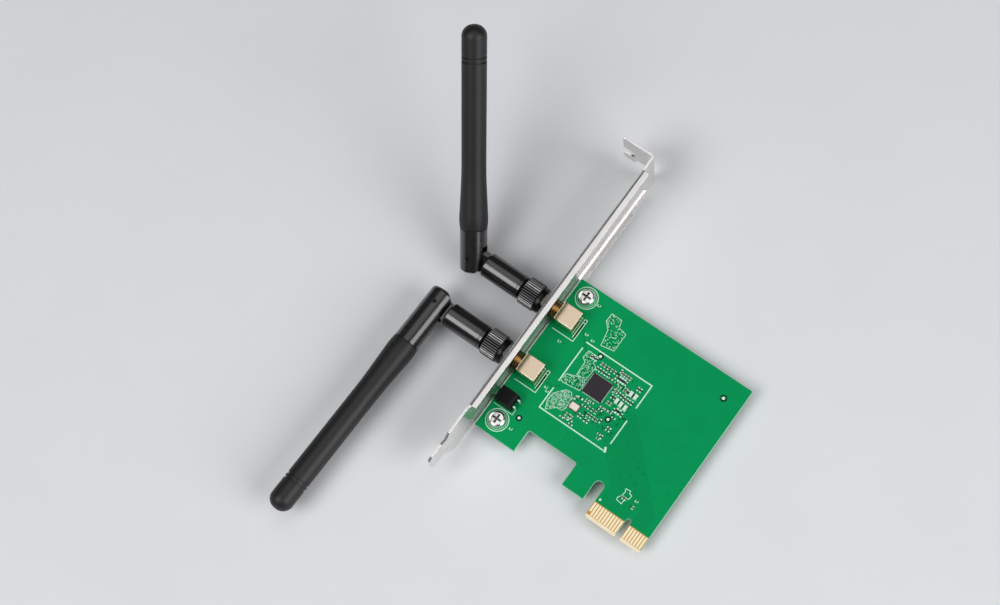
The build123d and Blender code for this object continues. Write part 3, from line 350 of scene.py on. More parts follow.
# Bright nickel on rolled sheet: near white, with faint lines along the roll
NICKEL_SHEET = Finish("nickel_plated_sheet_steel", "#EFECEB", "#E4E1E0", 0.25, 0.9, 0.04, 0.9, 0.0,
                      Grain.ROLLED_ALONG_Y, edge_mm=0.16)
# Zinc on a headed screw: a cool bright metal, with painted shade down in the cross
ZINC_SCREW = RecessedZinc()
# Gold flash on machined brass: pinkish cream on flat faces, deep gold where it mirrors the dark
GOLD_BRASS = Finish("gold_flashed_brass", "#DECBB3", "#D8C3A7", 0.15, 1.0, 0.03, 1.2, edge_mm=0.12)
# Gold flash in a cut thread: deeper gold, because the flanks shade one another
THREADED_BRASS = Finish("gold_flashed_thread", "#86622F", "#5E4321", 0.2, 1.0, 0.05, 0.6)
# Fluoropolymer: chalky white
WHITE_POLYMER = Finish("fluoropolymer", "#ECEBE4", "#E2E0D8", 0.5, grain_mm=1.0)
# Nickel on turned hardware: a clean mirror broken by lathe marks, with a colour darker than bright nickel as painted
# shade on the nuts and washers by the bracket
NICKEL_TURNED = Finish("nickel_plated_brass", "#6E6C69", "#565451", 0.14, 1.0, 0.05, 0.4, 0.001, Grain.TURNED_ABOUT_X,
                       edge_mm=0.08)
# Tin solder that has set: bright, lumpy and a little dull at the edges
TIN_SOLDER = Finish("bright_tin_solder", "#DDF6E8", "#C6EBD8", 0.34, 0.3, 0.08, 0.5, 0.006)
# Levelled tin on a broad track: smooth and pale, with a faint green that is a painted reflection of the board round
# it
TIN_TRACK = Finish("levelled_tin_on_copper", "#CDF8E3", "#BFF0D8", 0.45, 0.0, 0.05, 0.8)
# Nylon moulding: satin black with a fine grit
BLACK_NYLON = Finish("black_nylon_moulding", "#060609", "#0A090E", 0.5, grain_mm=0.25, depth_mm=0.003, specular=0.15,
                     edge_mm=0.12)
# Tinted casting resin: clear green with a wet surface
GREEN_RESIN = Finish("green_tinted_casting_resin", "#59C68A", "#3FB676", 0.12, grain_mm=2.0, transmission=0.75)
# Mould compound: a dull purple black with a coarse sparkle, drawn larger than life so that it shows
MOULD_COMPOUND = Finish("epoxy_mould_compound", "#1F1A1F", "#322A31", 0.5, spread=0.12, grain_mm=0.3, depth_mm=0.008,
                        specular=0.3, edge_mm=0.06)
# Fired ceramic: matt and warm
BROWN_CERAMIC = Finish("fired_brown_ceramic", "#7B6349", "#665039", 0.45, grain_mm=0.3)
# Thick-film glaze: near black and glassy
BLACK_GLAZE = Finish("black_glazed_film", "#131215", "#1D1C21", 0.3, grain_mm=0.3)
# White ceramic body of wound parts
PALE_CERAMIC = Finish("white_ceramic_body", "#DDF2E6", "#CDE6D8", 0.42, grain_mm=0.4)
# Kovar lid with a nickel skin: pinkish white with a soft glow
LID_METAL = Finish("nickel_plated_kovar", "#F6E9E4", "#EBDCD6", 0.3, 1.0, grain_mm=0.5)
# Black nickel on a rolled knurl: near black, with a thin pale line painted along every crest as a highlight
UPPER_KNURL = KnurledNickel("black_nickel_on_upper_knurl", 48.2)
LOWER_KNURL = KnurledNickel("black_nickel_on_lower_knurl", 27.88)
# Polished ABS: deep black with one broad streak of light
POLISHED_ABS = Finish("polished_black_abs", "#0B0A0C", "#0F0E10", 0.24, spread=0.03, grain_mm=3.0, depth_mm=0.002,
                      coat=1.0, coat_roughness=0.14, edge_mm=0.2)
# Moulded ABS off a smooth steel tool: black with a softer streak
MOULDED_ABS = Finish("moulded_black_abs", "#111012", "#161517", 0.28, spread=0.04, grain_mm=1.5, depth_mm=0.002,
                     coat=0.9, coat_roughness=0.2, edge_mm=0.2)
# Spark-eroded ABS: soft satin black with a grit that is drawn coarser than life so that it shows
SATIN_ABS = Finish("spark_eroded_black_abs", "#0F0E10", "#161517", 0.5, spread=0.07, grain_mm=0.3, depth_mm=0.01,
                   edge_mm=0.15)
# Coaxial cable jacket: dull grey
CABLE_JACKET = Finish("cable_jacket_polymer", "#4A4A4C", "#3E3E40", 0.55, grain_mm=0.5)
# Drawn brass tube
DRAWN_BRASS = Finish("drawn_brass_tube", "#C9A45B", "#B8924A", 0.3, 1.0, grain=Grain.TURNED_ABOUT_X, grain_mm=0.5)
# Black oxide on a steel pin: a dark dot with a dull shine
BLACK_OXIDE = Finish("black_oxide_steel", "#2E2E30", "#262628", 0.35, 1.0, grain_mm=0.5)
# Screen-printed epoxy ink: flat and pale, with a trace of the green below it
SCREEN_INK = Finish("screen_printed_ink", "#CBF5DF", "#BCEBD1", 0.6, grain_mm=0.5)
# Copper under the mask: the same green a shade deeper
MASKED_COPPER = Finish("solder_mask_over_copper", "#018A4E", "#018048", 0.45, specular=0.06, grain_mm=4.0)
# Bare laminate where the mask and the copper stop: dark green; the same colour is laid as painted shadow beside each
# jack block
LAMINATE_AND_PAINTED_SHADOW = Finish("bare_glass_epoxy_and_painted_shadow", "#062A17", "#052112", 0.55, specular=0.1, grain_mm=0.5)
# Painted board under the card: flat and pale, so that it takes a soft shadow
MATT_BOARD = Finish("matt_painted_board", "#E4E6E8", "#DFE2E5", 0.7, grain_mm=40)

FINISHES: dict[str, Finish | MaskedBoard | KnurledNickel | RecessedZinc] = {
    "board": MaskedBoard(), "gold": HARD_GOLD, "nickel_sheet": NICKEL_SHEET, "zinc": ZINC_SCREW,
    "gold_brass": GOLD_BRASS, "thread": THREADED_BRASS, "white": WHITE_POLYMER, "nickel_turned": NICKEL_TURNED,
    "tin": TIN_SOLDER, "nylon": BLACK_NYLON, "resin": GREEN_RESIN, "compound": MOULD_COMPOUND,
    "brown": BROWN_CERAMIC, "glaze": BLACK_GLAZE, "pale": PALE_CERAMIC, "lid": LID_METAL,
    "upper_knurl": UPPER_KNURL, "lower_knurl": LOWER_KNURL, "polished": POLISHED_ABS, "moulded": MOULDED_ABS,
    "satin": SATIN_ABS, "jacket": CABLE_JACKET, "drawn_brass": DRAWN_BRASS, "oxide": BLACK_OXIDE,
    "ink": SCREEN_INK, "copper": MASKED_COPPER, "track": TIN_TRACK, "laminate": LAMINATE_AND_PAINTED_SHADOW,
}


def corners(x0: float, y0: float, x1: float, y1: float) -> list[Point2]:
    """Give the corners of a rectangle in order, from two that lie across from each other."""
    return [(x0, y0), (x1, y0), (x1, y1), (x0, y1)]


def within(x: float, v: float, box: Box, margin: float = 0.0) -> bool:
    """Tell whether a point lies inside a box that is widened by a margin."""
    x0, v0, x1, v1 = box
    return x0 - margin < x < x1 + margin and v0 - margin < v < v1 + margin


def margins(spots: Sequence[Vector], reach: float, closed: bool = False) -> tuple[list[Point2], list[Point2]]:
    """Offset a chain of points to both sides, with mitred corners.

    Args:
        spots: Points of the chain.
        reach: How far the margins lie from it.
        closed: Whether the last point joins the first.

    Returns:
        The points on the left and those on the right.
    """
    count = len(spots)
    left: list[Point2] = []
    right: list[Point2] = []
    for k, spot in enumerate(spots):
        before = spots[k - 1] if closed or k else None
        after = spots[(k + 1) % count] if closed or k < count - 1 else None
        ways = [(b - a).normalized() for a, b in ((before, spot), (spot, after)) if a is not None and b is not None]
        normals = [Vector((-w.y, w.x)) for w in ways]
        across = sum(normals, Vector((0.0, 0.0))).normalized()
        out = reach / max(MITRE_LIMIT, across.dot(normals[0]))
        left.append(tuple(spot + across * out))
        right.append(tuple(spot - across * out))
    return left, right


class MeshDraft:
    """Points and faces of a piece while it is drawn, in millimetres."""

    def __init__(self) -> None:
        """Start with nothing drawn."""
        self.points: list[tuple[float, float, float]] = []
        self.faces: list[tuple[int, ...]] = []

    def loop(self, outline: Iterable[Point2], z: float) -> list[int]:
        """Add a ring of points at one height.

        Args:
            outline: Points in order round the ring.
            z: Height of all the points.

        Returns:
            The indices of the points.
        """
        first = len(self.points)
        self.points += [(x, y, z) for x, y in outline]
        return list(range(first, len(self.points)))

    def wall(self, low: Sequence[int], high: Sequence[int]) -> None:
        """Join two closed rings of equal length with quads.

        Args:
            low: Indices of the first ring.
            high: Indices of the second ring.
        """
        count = len(low)
        for k in range(count):
            n = (k + 1) % count
            self.faces.append((low[k], low[n], high[n], high[k]))

    def prism(self, outline: Sequence[Point2], low: float, high: float,
              shrink: Sequence[Point2] | None = None) -> None:
        """Add a closed prism, or a tapered one.

        Args:
            outline: Points of the foot, counter-clockwise.
            low: Height of the foot.
            high: Height of the top.
            shrink: Points of the top, where it differs from the foot.
        """
        foot = self.loop(outline, low)
        top = self.loop(shrink or outline, high)
        self.wall(foot, top)
        self.faces.append(tuple(reversed(foot)))
        self.faces.append(tuple(top))

    def ring(self, x: float, y: float, inner: float, outer: float, low: float, high: float, sides: int = 48) -> None:
        """Add a flat ring, or a disc where the inner radius is zero.

        Args:
            x: First coordinate of its centre.
            y: Second coordinate of its centre.
            inner: Radius of the hole.
            outer: Radius of the rim.
            low: Height of its foot.
            high: Height of its top.
            sides: Number of corners that stand for the circle.
        """
        turn = [(math.cos(2 * math.pi * k / sides), math.sin(2 * math.pi * k / sides)) for k in range(sides)]
        rims = [[(x + r * c, y + r * s) for c, s in turn] for r in (inner, outer)]
        if inner <= 0:
            self.prism(rims[1], low, high)
            return
        foot_in, foot_out = self.loop(rims[0], low), self.loop(rims[1], low)
        top_in, top_out = self.loop(rims[0], high), self.loop(rims[1], high)
        self.wall(foot_out, top_out)
        self.wall(top_out, top_in)
        self.wall(top_in, foot_in)
        self.wall(foot_in, foot_out)

    def ribbon(self, path: Sequence[Point2], width: float, low: float, high: float, closed: bool = False) -> None:
        """Add a flat line with mitred corners.

        Args:
            path: Points along the middle of the line.
            width: Width of the line.
            low: Height of its foot.
            high: Height of its top.
            closed: Whether the last point joins the first.
        """
        count = len(path)
        left, right = margins([Vector(p) for p in path], width / 2, closed)
        ends = [self.loop(side, z) for z in (low, high) for side in (right, left)]
        foot_right, foot_left, top_right, top_left = ends
        for k in range(count if closed else count - 1):
            n = (k + 1) % count
            self.faces.append((top_right[k], top_right[n], top_left[n], top_left[k]))
            self.faces.append((foot_left[k], foot_left[n], foot_right[n], foot_right[k]))
            self.faces.append((foot_right[k], foot_right[n], top_right[n], top_right[k]))
            self.faces.append((top_left[k], top_left[n], foot_left[n], foot_left[k]))
        if not closed:
            self.faces.append((foot_left[0], foot_right[0], top_right[0], top_left[0]))
            self.faces.append((foot_right[-1], foot_left[-1], top_left[-1], top_right[-1]))

    def piece(self, name: str, body: str, slot: str, finish: bpy.types.Material,
              smooth: bool = False) -> None:
        """Make the drawn piece and let it ride on its body.

        Args:
            name: Name of the piece.
            body: Body that carries it.
            slot: Slot of the record that matches its finish; not used.
            finish: Its material.
            smooth: Whether its faces shade as one curved surface.
        """
        mesh = bpy.data.meshes.new(name)
        mesh.from_pydata([(x * MM, y * MM, z * MM) for x, y, z in self.points], [], self.faces)
        mesh.validate()
        mesh.update()
        mesh.materials.append(finish)
        mesh.polygons.foreach_set("use_smooth", [smooth] * len(mesh.polygons))
        made = bpy.data.objects.new(name, mesh)
        bpy.context.scene.collection.objects.link(made)
        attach(made, body)
        LOG.info("piece %s: %d faces on %s", name, len(mesh.polygons), body)


@dataclass(frozen=True)
class SmallRow:
    """A row of equal small parts: the first place, the count, the step and which way they lie."""

    x: float
    v: float
    count: int
    step_x: float
    step_v: float
    upright: bool
    bold: bool = False

    def lay(self, across: float, along: float) -> Point2:
        """Turn a size across and one along a part into sizes along the board's two edges."""
        return (across, along) if self.upright else (along, across)


SMALL_ROWS = tuple(SmallRow(*row) for row in (
    (28.7, 20.3, 3, 0.9, 0.0, True, True), (32.6, 22.5, 2, 0.95, 0.0, True, True),
    (22.3, 32.3, 1, 0.0, 0.0, False, True), (33.9, 29.2, 2, 1.0, 0.0, True, True),
    (18.0, 19.0, 2, 1.3, 0.1, True), (21.0, 21.4, 5, 1.05, 0.0, True), (27.6, 20.4, 5, 0.95, 0.0, True),
    (29.5, 24.4, 4, 1.05, 0.0, True), (30.0, 26.2, 2, 1.1, 0.0, True), (33.6, 24.6, 4, 0.95, 0.0, True),
    (29.6, 30.9, 2, 0.0, 1.0, False), (33.0, 29.6, 4, 1.0, 0.0, True), (33.2, 31.4, 3, 1.25, 0.3, False),
    (23.0, 32.3, 2, 1.7, 0.0, False), (24.6, 33.7, 2, 0.0, 1.1, False), (30.6, 34.6, 2, 1.0, 0.2, True),
    (24.0, 37.0, 3, 1.0, 0.0, True), (20.9, 40.6, 3, 1.5, -0.3, False), (24.6, 40.0, 2, 0.0, 1.0, False),
    (20.9, 33.0, 1, 0.0, 0.0, True), (35.2, 35.0, 2, 0.0, 1.1, False), (27.4, 37.2, 2, 1.1, 0.0, True),
    (35.4, 19.6, 2, 1.0, 0.0, True), (27.9, 17.9, 3, 1.0, 0.0, True), (28.8, 21.9, 2, 1.4, 0.0, False),
    (21.9, 39.0, 4, 0.85, 0.0, True), (33.4, 38.8, 3, 0.75, 0.0, True), (20.9, 21.8, 5, 1.4, 0.0, False),
))


@dataclass(frozen=True)
class ChipPart:
    """One of the smallest parts with its two pads, before a bold row enlarges it."""

    half_width: float = 0.3
    half_length: float = 0.74
    body_half_width: float = 0.27
    body_half_length: float = 0.28
    body_height: float = 0.28
    pad_off: float = 0.48
    pad_half: float = 0.26
    pad_height: float = 0.1
    enlarged: float = 1.35
    dark_share: float = 0.75
    seed: int = 31


@dataclass(frozen=True)
class JackFrame:
    """Print, a strip of painted shadow and a dark hole beside one jack, from the board's edge and above or below the
    jack's line.
    """

    edge_x: float = 1.6
    inner_x: float = 8.7
    outer_x: float = 9.6
    rise: float = 3.4
    bar_rise: float = 2.2
    inner_drop: float = 3.6
    outer_drop: float = 4.7
    line: float = 0.26
    # Strip of painted shadow beside the jack block, and the hole near its end
    shadow_strip_x: float = 9.14
    shadow_strip_rise: float = 1.9
    shadow_strip_drop: float = 3.4
    shadow_strip_width: float = 0.5
    hole_rise: float = 2.8
    hole_radius: float = 0.3


@dataclass(frozen=True)
class Bus:
    """Tracks side by side from the radio to the contacts: out a little way, down a slant and straight on."""

    first: int = 1
    last: int = 16
    start: Point2 = (33.0, 27.0)
    step: Point2 = (0.35, 0.75)
    lead: float = 1.6
    foot: float = 56.2
    width: float = 0.26


@dataclass(frozen=True)
class RearBus:
    """Tracks on the solder side: from every second contact up, over a slant and across the board."""

    every: int = 2
    foot: float = 56.2
    rise: float = 40.0
    rise_step: float = 1.1
    lead: float = 4.0
    slant: Point2 = (5.0, 1.0)
    end: float = 22.0
    end_step: float = 0.8
    width: float = 0.3


@dataclass(frozen=True)
class Vias:
    """Small plated holes strewn over one side of the board, outside a box that is kept free."""

    seed: int
    tries: int
    area: Box
    ring: Point2
    kept_free: Box = (0.0, 0.0, 0.0, 0.0)
    sides: int = 20


@dataclass
class BoardDress:
    """Print, copper and solder on the circuit board, placed from its top left corner in millimetres."""

    edge: float = -56.95
    top: float = 62.1
    face: float = 0.785
    ink: float = 0.02
    copper: float = 0.012
    thin_line: float = 0.2
    screws: tuple[Point2, ...] = ((5.0, 4.4), (5.0, 52.9))
    screw_rings: tuple[Point2, ...] = ((3.54, 3.82), (2.98, 3.12))
    jacks: tuple[float, ...] = (13.9, 34.22)
    jack_frame: JackFrame = JackFrame()
    lamp_corner: tuple[Point2, ...] = ((0.95, 48.9), (7.9, 48.9), (7.9, 47.2))
    contact_dot: Point2 = (45.95, 55.2)
    contact_dot_radius: float = 0.4
    targets: tuple[tuple[float, float, float], ...] = (
        (10.24, 48.49, 0.5), (19.65, 17.65, 0.5), (33.3, 33.0, 0.5), (58.85, 6.92, 0.55))
    target_spread: float = 2.1
    target_depth: float = 0.008
    islands: tuple[tuple[int, tuple[Point2, ...]], ...] = (
        (130, ((14.57, 4.13), (18.34, 4.18), (19.14, 6.71), (22.1, 7.3), (22.14, 13.78), (17.65, 14.66),
               (16.62, 9.25), (14.46, 7.06))),
        (110, ((15.5, 18.3), (19.1, 18.2), (19.0, 20.7), (20.5, 21.4), (20.3, 26.5), (16.9, 26.7), (16.7, 21.9),
               (15.3, 21.0))),
        (110, ((13.6, 31.0), (14.2, 28.3), (19.6, 26.3), (20.7, 27.7), (20.6, 30.5), (14.8, 31.2))),
        (420, ((14.1, 38.6), (14.3, 35.8), (16.9, 32.8), (18.8, 32.3), (20.2, 33.8), (20.4, 37.5), (19.9, 38.8),
               (17.9, 39.0), (15.3, 41.4))),
    )
    speck_sizes: tuple[Point2, ...] = ((0.2, 0.2), (0.32, 0.18), (0.18, 0.45), (0.55, 0.16))
    speck_seed: int = 11
    dashed_islands: int = 3
    dash_length: float = 0.4
    dash_width: float = 0.22
    stagger: tuple[Point2, ...] = (
        (50.5, 47.8), (52.1, 47.6), (52.3, 48.5), (53.2, 48.6), (53.2, 50.0), (52.3, 50.3), (52.1, 50.6),
        (52.0, 52.5), (50.0, 52.2), (49.9, 51.3), (50.6, 50.4), (50.9, 48.9))
    stagger_line: float = 0.24
    ticks: tuple[Point2, ...] = (
        (6.1, 20.9), (14.7, 14.8), (12.0, 14.2), (11.4, 35.5), (12.4, 36.4), (9.7, 4.2), (10.2, 52.8), (55.5, 49.2))
    tick_strokes: tuple[tuple[Point2, ...], ...] = (
        ((-0.45, -0.3), (-0.45, 0.35), (0.1, 0.35)), ((0.4, -0.35), (0.4, 0.35)))
    tick_line: float = 0.22
    fence: tuple[tuple[Point2, ...], ...] = (
        ((13.4, 16.35), (38.4, 16.35), (38.4, 24.95)), ((38.4, 30.15), (38.4, 38.75)),
        ((37.6, 41.95), (13.4, 41.95), (13.4, 34.45)), ((13.4, 31.35), (13.4, 18.65)))
    lap_off: float = 0.28
    lap_width: float = 0.16
    lap_height: float = 0.128
    chip: Box = (20.6, 22.6, 28.8, 30.4)
    chip_margin: float = 0.6
    radio: Box = (21.0, 18.0, 37.0, 37.0)
    break_tries: int = 150
    break_lengths: Point2 = (0.5, 1.4)
    break_ways: tuple[Point2, ...] = ((1, 0), (0, 1), (0.7, 0.7), (0.7, -0.7))
    break_seed: int = 23
    chip_part: ChipPart = ChipPart()
    fillet_reach: float = 0.12
    fillet_foot: float = 0.03
    fillet_rise: float = 0.3
    contacts: tuple[float, ...] = field(default_factory=lambda: tuple(
        [45.45 + k for k in range(11)] + [58.45 + k for k in range(7)]))
    bus: Bus = Bus()
    rear_bus: RearBus = RearBus()
    feed_start: float = 8.3
    feed_ends: tuple[Point2, ...] = ((15.6, 19.4), (14.8, 32.4))
    feed_width: float = 0.5
    vias: Vias = Vias(5, 46, (10.5, 2.0, 63.0, 47.5), (0.14, 0.32), (12.0, 15.0, 40.0, 43.5))
    rear_vias: Vias = Vias(7, 60, (14.0, 3.0, 62.0, 45.0), (0.14, 0.34))
    finishes: dict[str, bpy.types.Material] = field(default_factory=dict)

    def at(self, x: float, v: float) -> Point2:
        """Place a point of the board in the card's frame."""
        return self.edge + x, self.top - v

    def path(self, points: Iterable[Point2]) -> list[Point2]:
        """Place a chain of points of the board in the card's frame."""
        return [self.at(x, v) for x, v in points]

    def inside(self, x: float, v: float, outline: Sequence[Point2]) -> bool:
        """Tell whether a point lies inside an outline."""
        return sum((v0 > v) != (v1 > v) and x < (x1 - x0) * (v - v0) / (v1 - v0) + x0
                   for (x0, v0), (x1, v1) in zip(outline, outline[1:] + outline[:1])) % 2 == 1

    def scatter(self, shuffle: random.Random, count: int, outline: Sequence[Point2]) -> list[Point2]:
        """Strew points inside an outline.

        Args:
            shuffle: Source of the places.
            count: How many places are tried.
            outline: Outline that the points lie in.

        Returns:
            The points that fell inside.
        """
        xs, vs = [p[0] for p in outline], [p[1] for p in outline]
        tried = [(shuffle.uniform(min(xs), max(xs)), shuffle.uniform(min(vs), max(vs))) for _ in range(count)]
        return [(x, v) for x, v in tried if self.inside(x, v, outline)]

    def strew_vias(self, draft: MeshDraft, vias: Vias, low: float, high: float) -> None:
        """Draw the rings of plated holes on one side.

        Args:
            draft: Piece that takes the rings.
            vias: How many there are, where and how large.
            low: Height of their foot.
            high: Height of their top.
        """
        shuffle = random.Random(vias.seed)
        x0, v0, x1, v1 = vias.area
        for _ in range(vias.tries):
            x, v = shuffle.uniform(x0, x1), shuffle.uniform(v0, v1)
            if not within(x, v, vias.kept_free):
                draft.ring(*self.at(x, v), *vias.ring, low, high, vias.sides)

    def build_print(self) -> None:
        """Draw the pale lines: rings, jack frames, outlines and short marks."""
        draft = MeshDraft()
        low, high = self.face, self.face + self.ink
        for x, v in self.screws:
            for inner, outer in self.screw_rings:
                draft.ring(*self.at(x, v), inner, outer, low, high)
        mark = self.jack_frame
        for v in self.jacks:
            hook = [(mark.edge_x, v + mark.outer_drop), (mark.outer_x, v + mark.outer_drop),
                    (mark.outer_x, v - mark.rise), (mark.inner_x, v - mark.rise), (mark.inner_x, v + mark.inner_drop)]
            bar = [(mark.inner_x, v - mark.bar_rise), (mark.outer_x, v - mark.bar_rise)]
            for stroke in (hook, bar):
                draft.ribbon(self.path(stroke), mark.line, low, high)
        draft.ribbon(self.path(self.lamp_corner), self.thin_line, low, high)
        for _, outline in self.islands:
            draft.ribbon(self.path(outline), self.thin_line, low, high, closed=True)
        draft.ribbon(self.path(self.stagger), self.stagger_line, low, high, closed=True)
        draft.ring(*self.at(*self.contact_dot), 0, self.contact_dot_radius, low, high, sides=24)
        for x, v in self.ticks:
            for stroke in self.tick_strokes:
                draft.ribbon(self.path([(x + dx, v + dv) for dx, dv in stroke]), self.tick_line, low, high)
        shuffle = random.Random(self.speck_seed)
        for count, outline in self.islands:
            for x, v in self.scatter(shuffle, count, outline):
                across, tall = shuffle.choice(self.speck_sizes)
                draft.prism(self.path(corners(x, v, x + across, v - tall)), low, high)
        draft.piece("board_print", "card", "print_ink", self.finishes["ink"])

    def build_gaps_and_shadow(self) -> None:
        """Draw the dark marks: a strip of painted shadow and a hole beside each jack block, and breaks in the copper
        round the chip.
        """
        draft = MeshDraft()
        low, high = self.face, self.face + self.copper
        mark = self.jack_frame
        for v in self.jacks:
            # Painted shadow: a dark strip beside the jack block
            slot = [(mark.shadow_strip_x, v + mark.shadow_strip_drop), (mark.shadow_strip_x, v - mark.shadow_strip_rise)]
            draft.ribbon(self.path(slot), mark.shadow_strip_width, low, high)
            draft.ring(*self.at(mark.shadow_strip_x, v - mark.hole_rise), 0, mark.hole_radius, low, high, sides=20)
        shuffle = random.Random(self.break_seed)
        for x, v in self.scatter(shuffle, self.break_tries, corners(*self.radio)):
            if not within(x, v, self.chip, self.chip_margin):
                run = shuffle.uniform(*self.break_lengths)
                way = shuffle.choice(self.break_ways)
                draft.ribbon(self.path([(x, v), (x + run * way[0], v + run * way[1])]), self.thin_line, low, high)
        for count, outline in self.islands[:self.dashed_islands]:
            for x, v in self.scatter(shuffle, count // 2, outline):
                draft.ribbon(self.path([(x, v), (x + self.dash_length, v)]), self.dash_width, low, high)
        draft.piece("mask_gaps_and_painted_shadow", "card", "solder_mask", self.finishes["laminate"])

    def build_small(self) -> None:
        """Draw the smallest parts round the chip: two tinned pads and a body each, wherever there is room."""
        pads, dark, brown = MeshDraft(), MeshDraft(), MeshDraft()
        part = self.chip_part
        names = ("capacitors", "resistors", "inductors", "part_ends", "radio_chip", "chip_joints", "crystal_case")
        taken = [(low.x / MM - self.edge, self.top - high.y / MM, high.x / MM - self.edge, self.top - low.y / MM)
                 for name in names for low, high in islands_of(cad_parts[name])]
        shuffle = random.Random(part.seed)
        for row in SMALL_ROWS:
            size = part.enlarged if row.bold else 1.0
            half_x, half_v = row.lay(part.half_width * size, part.half_length * size)
            body_x, body_v = row.lay(part.body_half_width * size, part.body_half_length * size)
            for k in range(row.count):
                x, v = row.x + k * row.step_x, row.v + k * row.step_v
                box = (x - half_x, v - half_v, x + half_x, v + half_v)
                if any(box[0] < t[2] and t[0] < box[2] and box[1] < t[3] and t[1] < box[3] for t in taken):
                    continue
                taken.append(box)
                for end in (-1, 1):
                    shift_x, shift_v = row.lay(0.0, end * part.pad_off * size)
                    pad = self.rectangle(x + shift_x, v + shift_v, part.pad_half * size, part.pad_half * size)
                    pads.prism(pad, self.face, self.face + part.pad_height)
                body = dark if row.bold or shuffle.random() < part.dark_share else brown
                body.prism(self.rectangle(x, v, body_x, body_v), self.face, self.face + part.body_height * size)
        pads.piece("small_pads", "card", "solder", self.finishes["track"])
        dark.piece("small_dark_bodies", "card", "resistor_black", self.finishes["glaze"])
        brown.piece("small_brown_bodies", "card", "capacitor_ceramic", self.finishes["brown"])

    def rectangle(self, x: float, v: float, half_x: float, half_v: float) -> list[Point2]:
        """Give the corners of a rectangle on the board, counter-clockwise in the card's frame."""
        return self.path(corners(x - half_x, v + half_v, x + half_x, v - half_v))

    def build_copper(self) -> None:
        """Draw the tracks under the mask: a bus to the contacts and two antenna feeds."""
        draft = MeshDraft()
        low, high = self.face, self.face + self.copper
        bus = self.bus
        fed = self.contacts[bus.first:bus.last]
        for k, x in enumerate(fed):
            x0 = bus.start[0] + bus.step[0] * k
            v0 = bus.start[1] + bus.step[1] * (len(fed) - 1 - k)
            track = [(x0, v0), (x0 + bus.lead, v0), (x, v0 + (x - x0) - bus.lead), (x, bus.foot)]
            draft.ribbon(self.path(track), bus.width, low, high)
        for v, (x, end) in zip(self.jacks, self.feed_ends):
            track = [(self.feed_start, v), (x - abs(end - v), v), (x, end)]
            draft.ribbon(self.path(track), self.feed_width, low, high)
        self.strew_vias(draft, self.vias, low, high)
        draft.piece("masked_tracks", "card", "solder_mask", self.finishes["copper"])

    def build_back(self) -> None:
        """Draw the tracks and vias on the solder side."""
        draft = MeshDraft()
        low, high = -self.face - self.copper, -self.face
        bus = self.rear_bus
        for k, x in enumerate(self.contacts[::bus.every]):
            rise = bus.rise - bus.rise_step * k
            level = rise - bus.slant[1] - k
            track = [(x, bus.foot), (x, rise + bus.lead), (x - bus.slant[0] - k, level),
                     (bus.end + bus.end_step * k, level)]
            draft.ribbon(self.path(track), bus.width, low, high)
        self.strew_vias(draft, self.rear_vias, low, high)
        draft.piece("rear_tracks", "card", "solder_mask", self.finishes["copper"])

    def build_laps(self) -> None:
        """Draw the mask where it laps over both margins of the tinned fence."""
        draft = MeshDraft()
        for run in self.fence:
            spots = [Vector(p) for p in run]
            spots[0] -= (spots[1] - spots[0]).normalized() * self.lap_off
            spots[-1] += (spots[-1] - spots[-2]).normalized() * self.lap_off
            left, right = margins(spots, self.lap_off)
            rim = self.path(left + right[::-1])
            draft.ribbon(rim, self.lap_width, self.face, self.face + self.lap_height, closed=True)
        draft.piece("fence_mask_laps", "card", "solder_mask", self.finishes["board"])

    def build_targets(self) -> None:
        """Draw the target marks: a tinned dot in a ring of bare laminate."""
        dots, rings = MeshDraft(), MeshDraft()
        for x, v, radius in self.targets:
            cx, cy = self.at(x, v)
            rings.ring(cx, cy, radius, radius * self.target_spread, self.face, self.face + self.target_depth)
            dots.ring(cx, cy, 0, radius, self.face, self.face + self.ink, sides=32)
        rings.piece("target_rings", "card", "solder_mask", self.finishes["laminate"])
        dots.piece("target_dots", "card", "solder", self.finishes["tin"])

    def build_fillets(self) -> None:
        """Draw the solder that spreads on the board and climbs up the ends of the small parts."""
        draft = MeshDraft()
        reach, bottom, brim = self.fillet_reach, self.face, self.face + self.fillet_foot
        for low, high in islands_of(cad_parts["part_ends"]):
            x0, y0, x1, y1 = low.x / MM, low.y / MM, high.x / MM, high.y / MM
            foot = corners(x0 - reach, y0 - reach, x1 + reach, y1 + reach)
            draft.prism(foot, bottom, brim)
            draft.prism(foot, brim, bottom + self.fillet_rise, corners(x0, y0, x1, y1))
        draft.piece("solder_fillets", "card", "solder", self.finishes["tin"])

    def build(self) -> None:
        """Draw everything that lies on the board."""
        self.build_print()
        self.build_gaps_and_shadow()
        self.build_small()
        self.build_laps()
        self.build_copper()
        self.build_back()
        self.build_targets()
        self.build_fillets()


def islands_of(node: bpy.types.Object) -> list[tuple[Vector, Vector]]:
    """Find the box of each separate solid of a node.

    Args:
        node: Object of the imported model.

    Returns:
        The lowest and highest corner of each solid.
    """
    mesh = node.data
    keys = {v.index: tuple(round(c * WELDS_PER_METRE) for c in v.co) for v in mesh.vertices}
    parent: dict[tuple[int, ...], tuple[int, ...]] = {k: k for k in keys.values()}

    def root(key: tuple[int, ...]) -> tuple[int, ...]:
        """Follow a point to the first point of its solid.

        Args:
            key: Any point of the solid.

        Returns:
            The point that stands for the solid.
        """
        while parent[key] != key:
            parent[key] = parent[parent[key]]
            key = parent[key]
        return key

    for edge in mesh.edges:
        a, b = (root(keys[i]) for i in edge.vertices)
        parent[a] = b
    groups: dict[tuple[int, ...], list[Vector]] = {}
    for vertex in mesh.vertices:
        groups.setdefault(root(keys[vertex.index]), []).append(vertex.co)
    return [(Vector([min(p[i] for p in g) for i in range(3)]), Vector([max(p[i] for p in g) for i in range(3)]))
            for g in groups.values()]


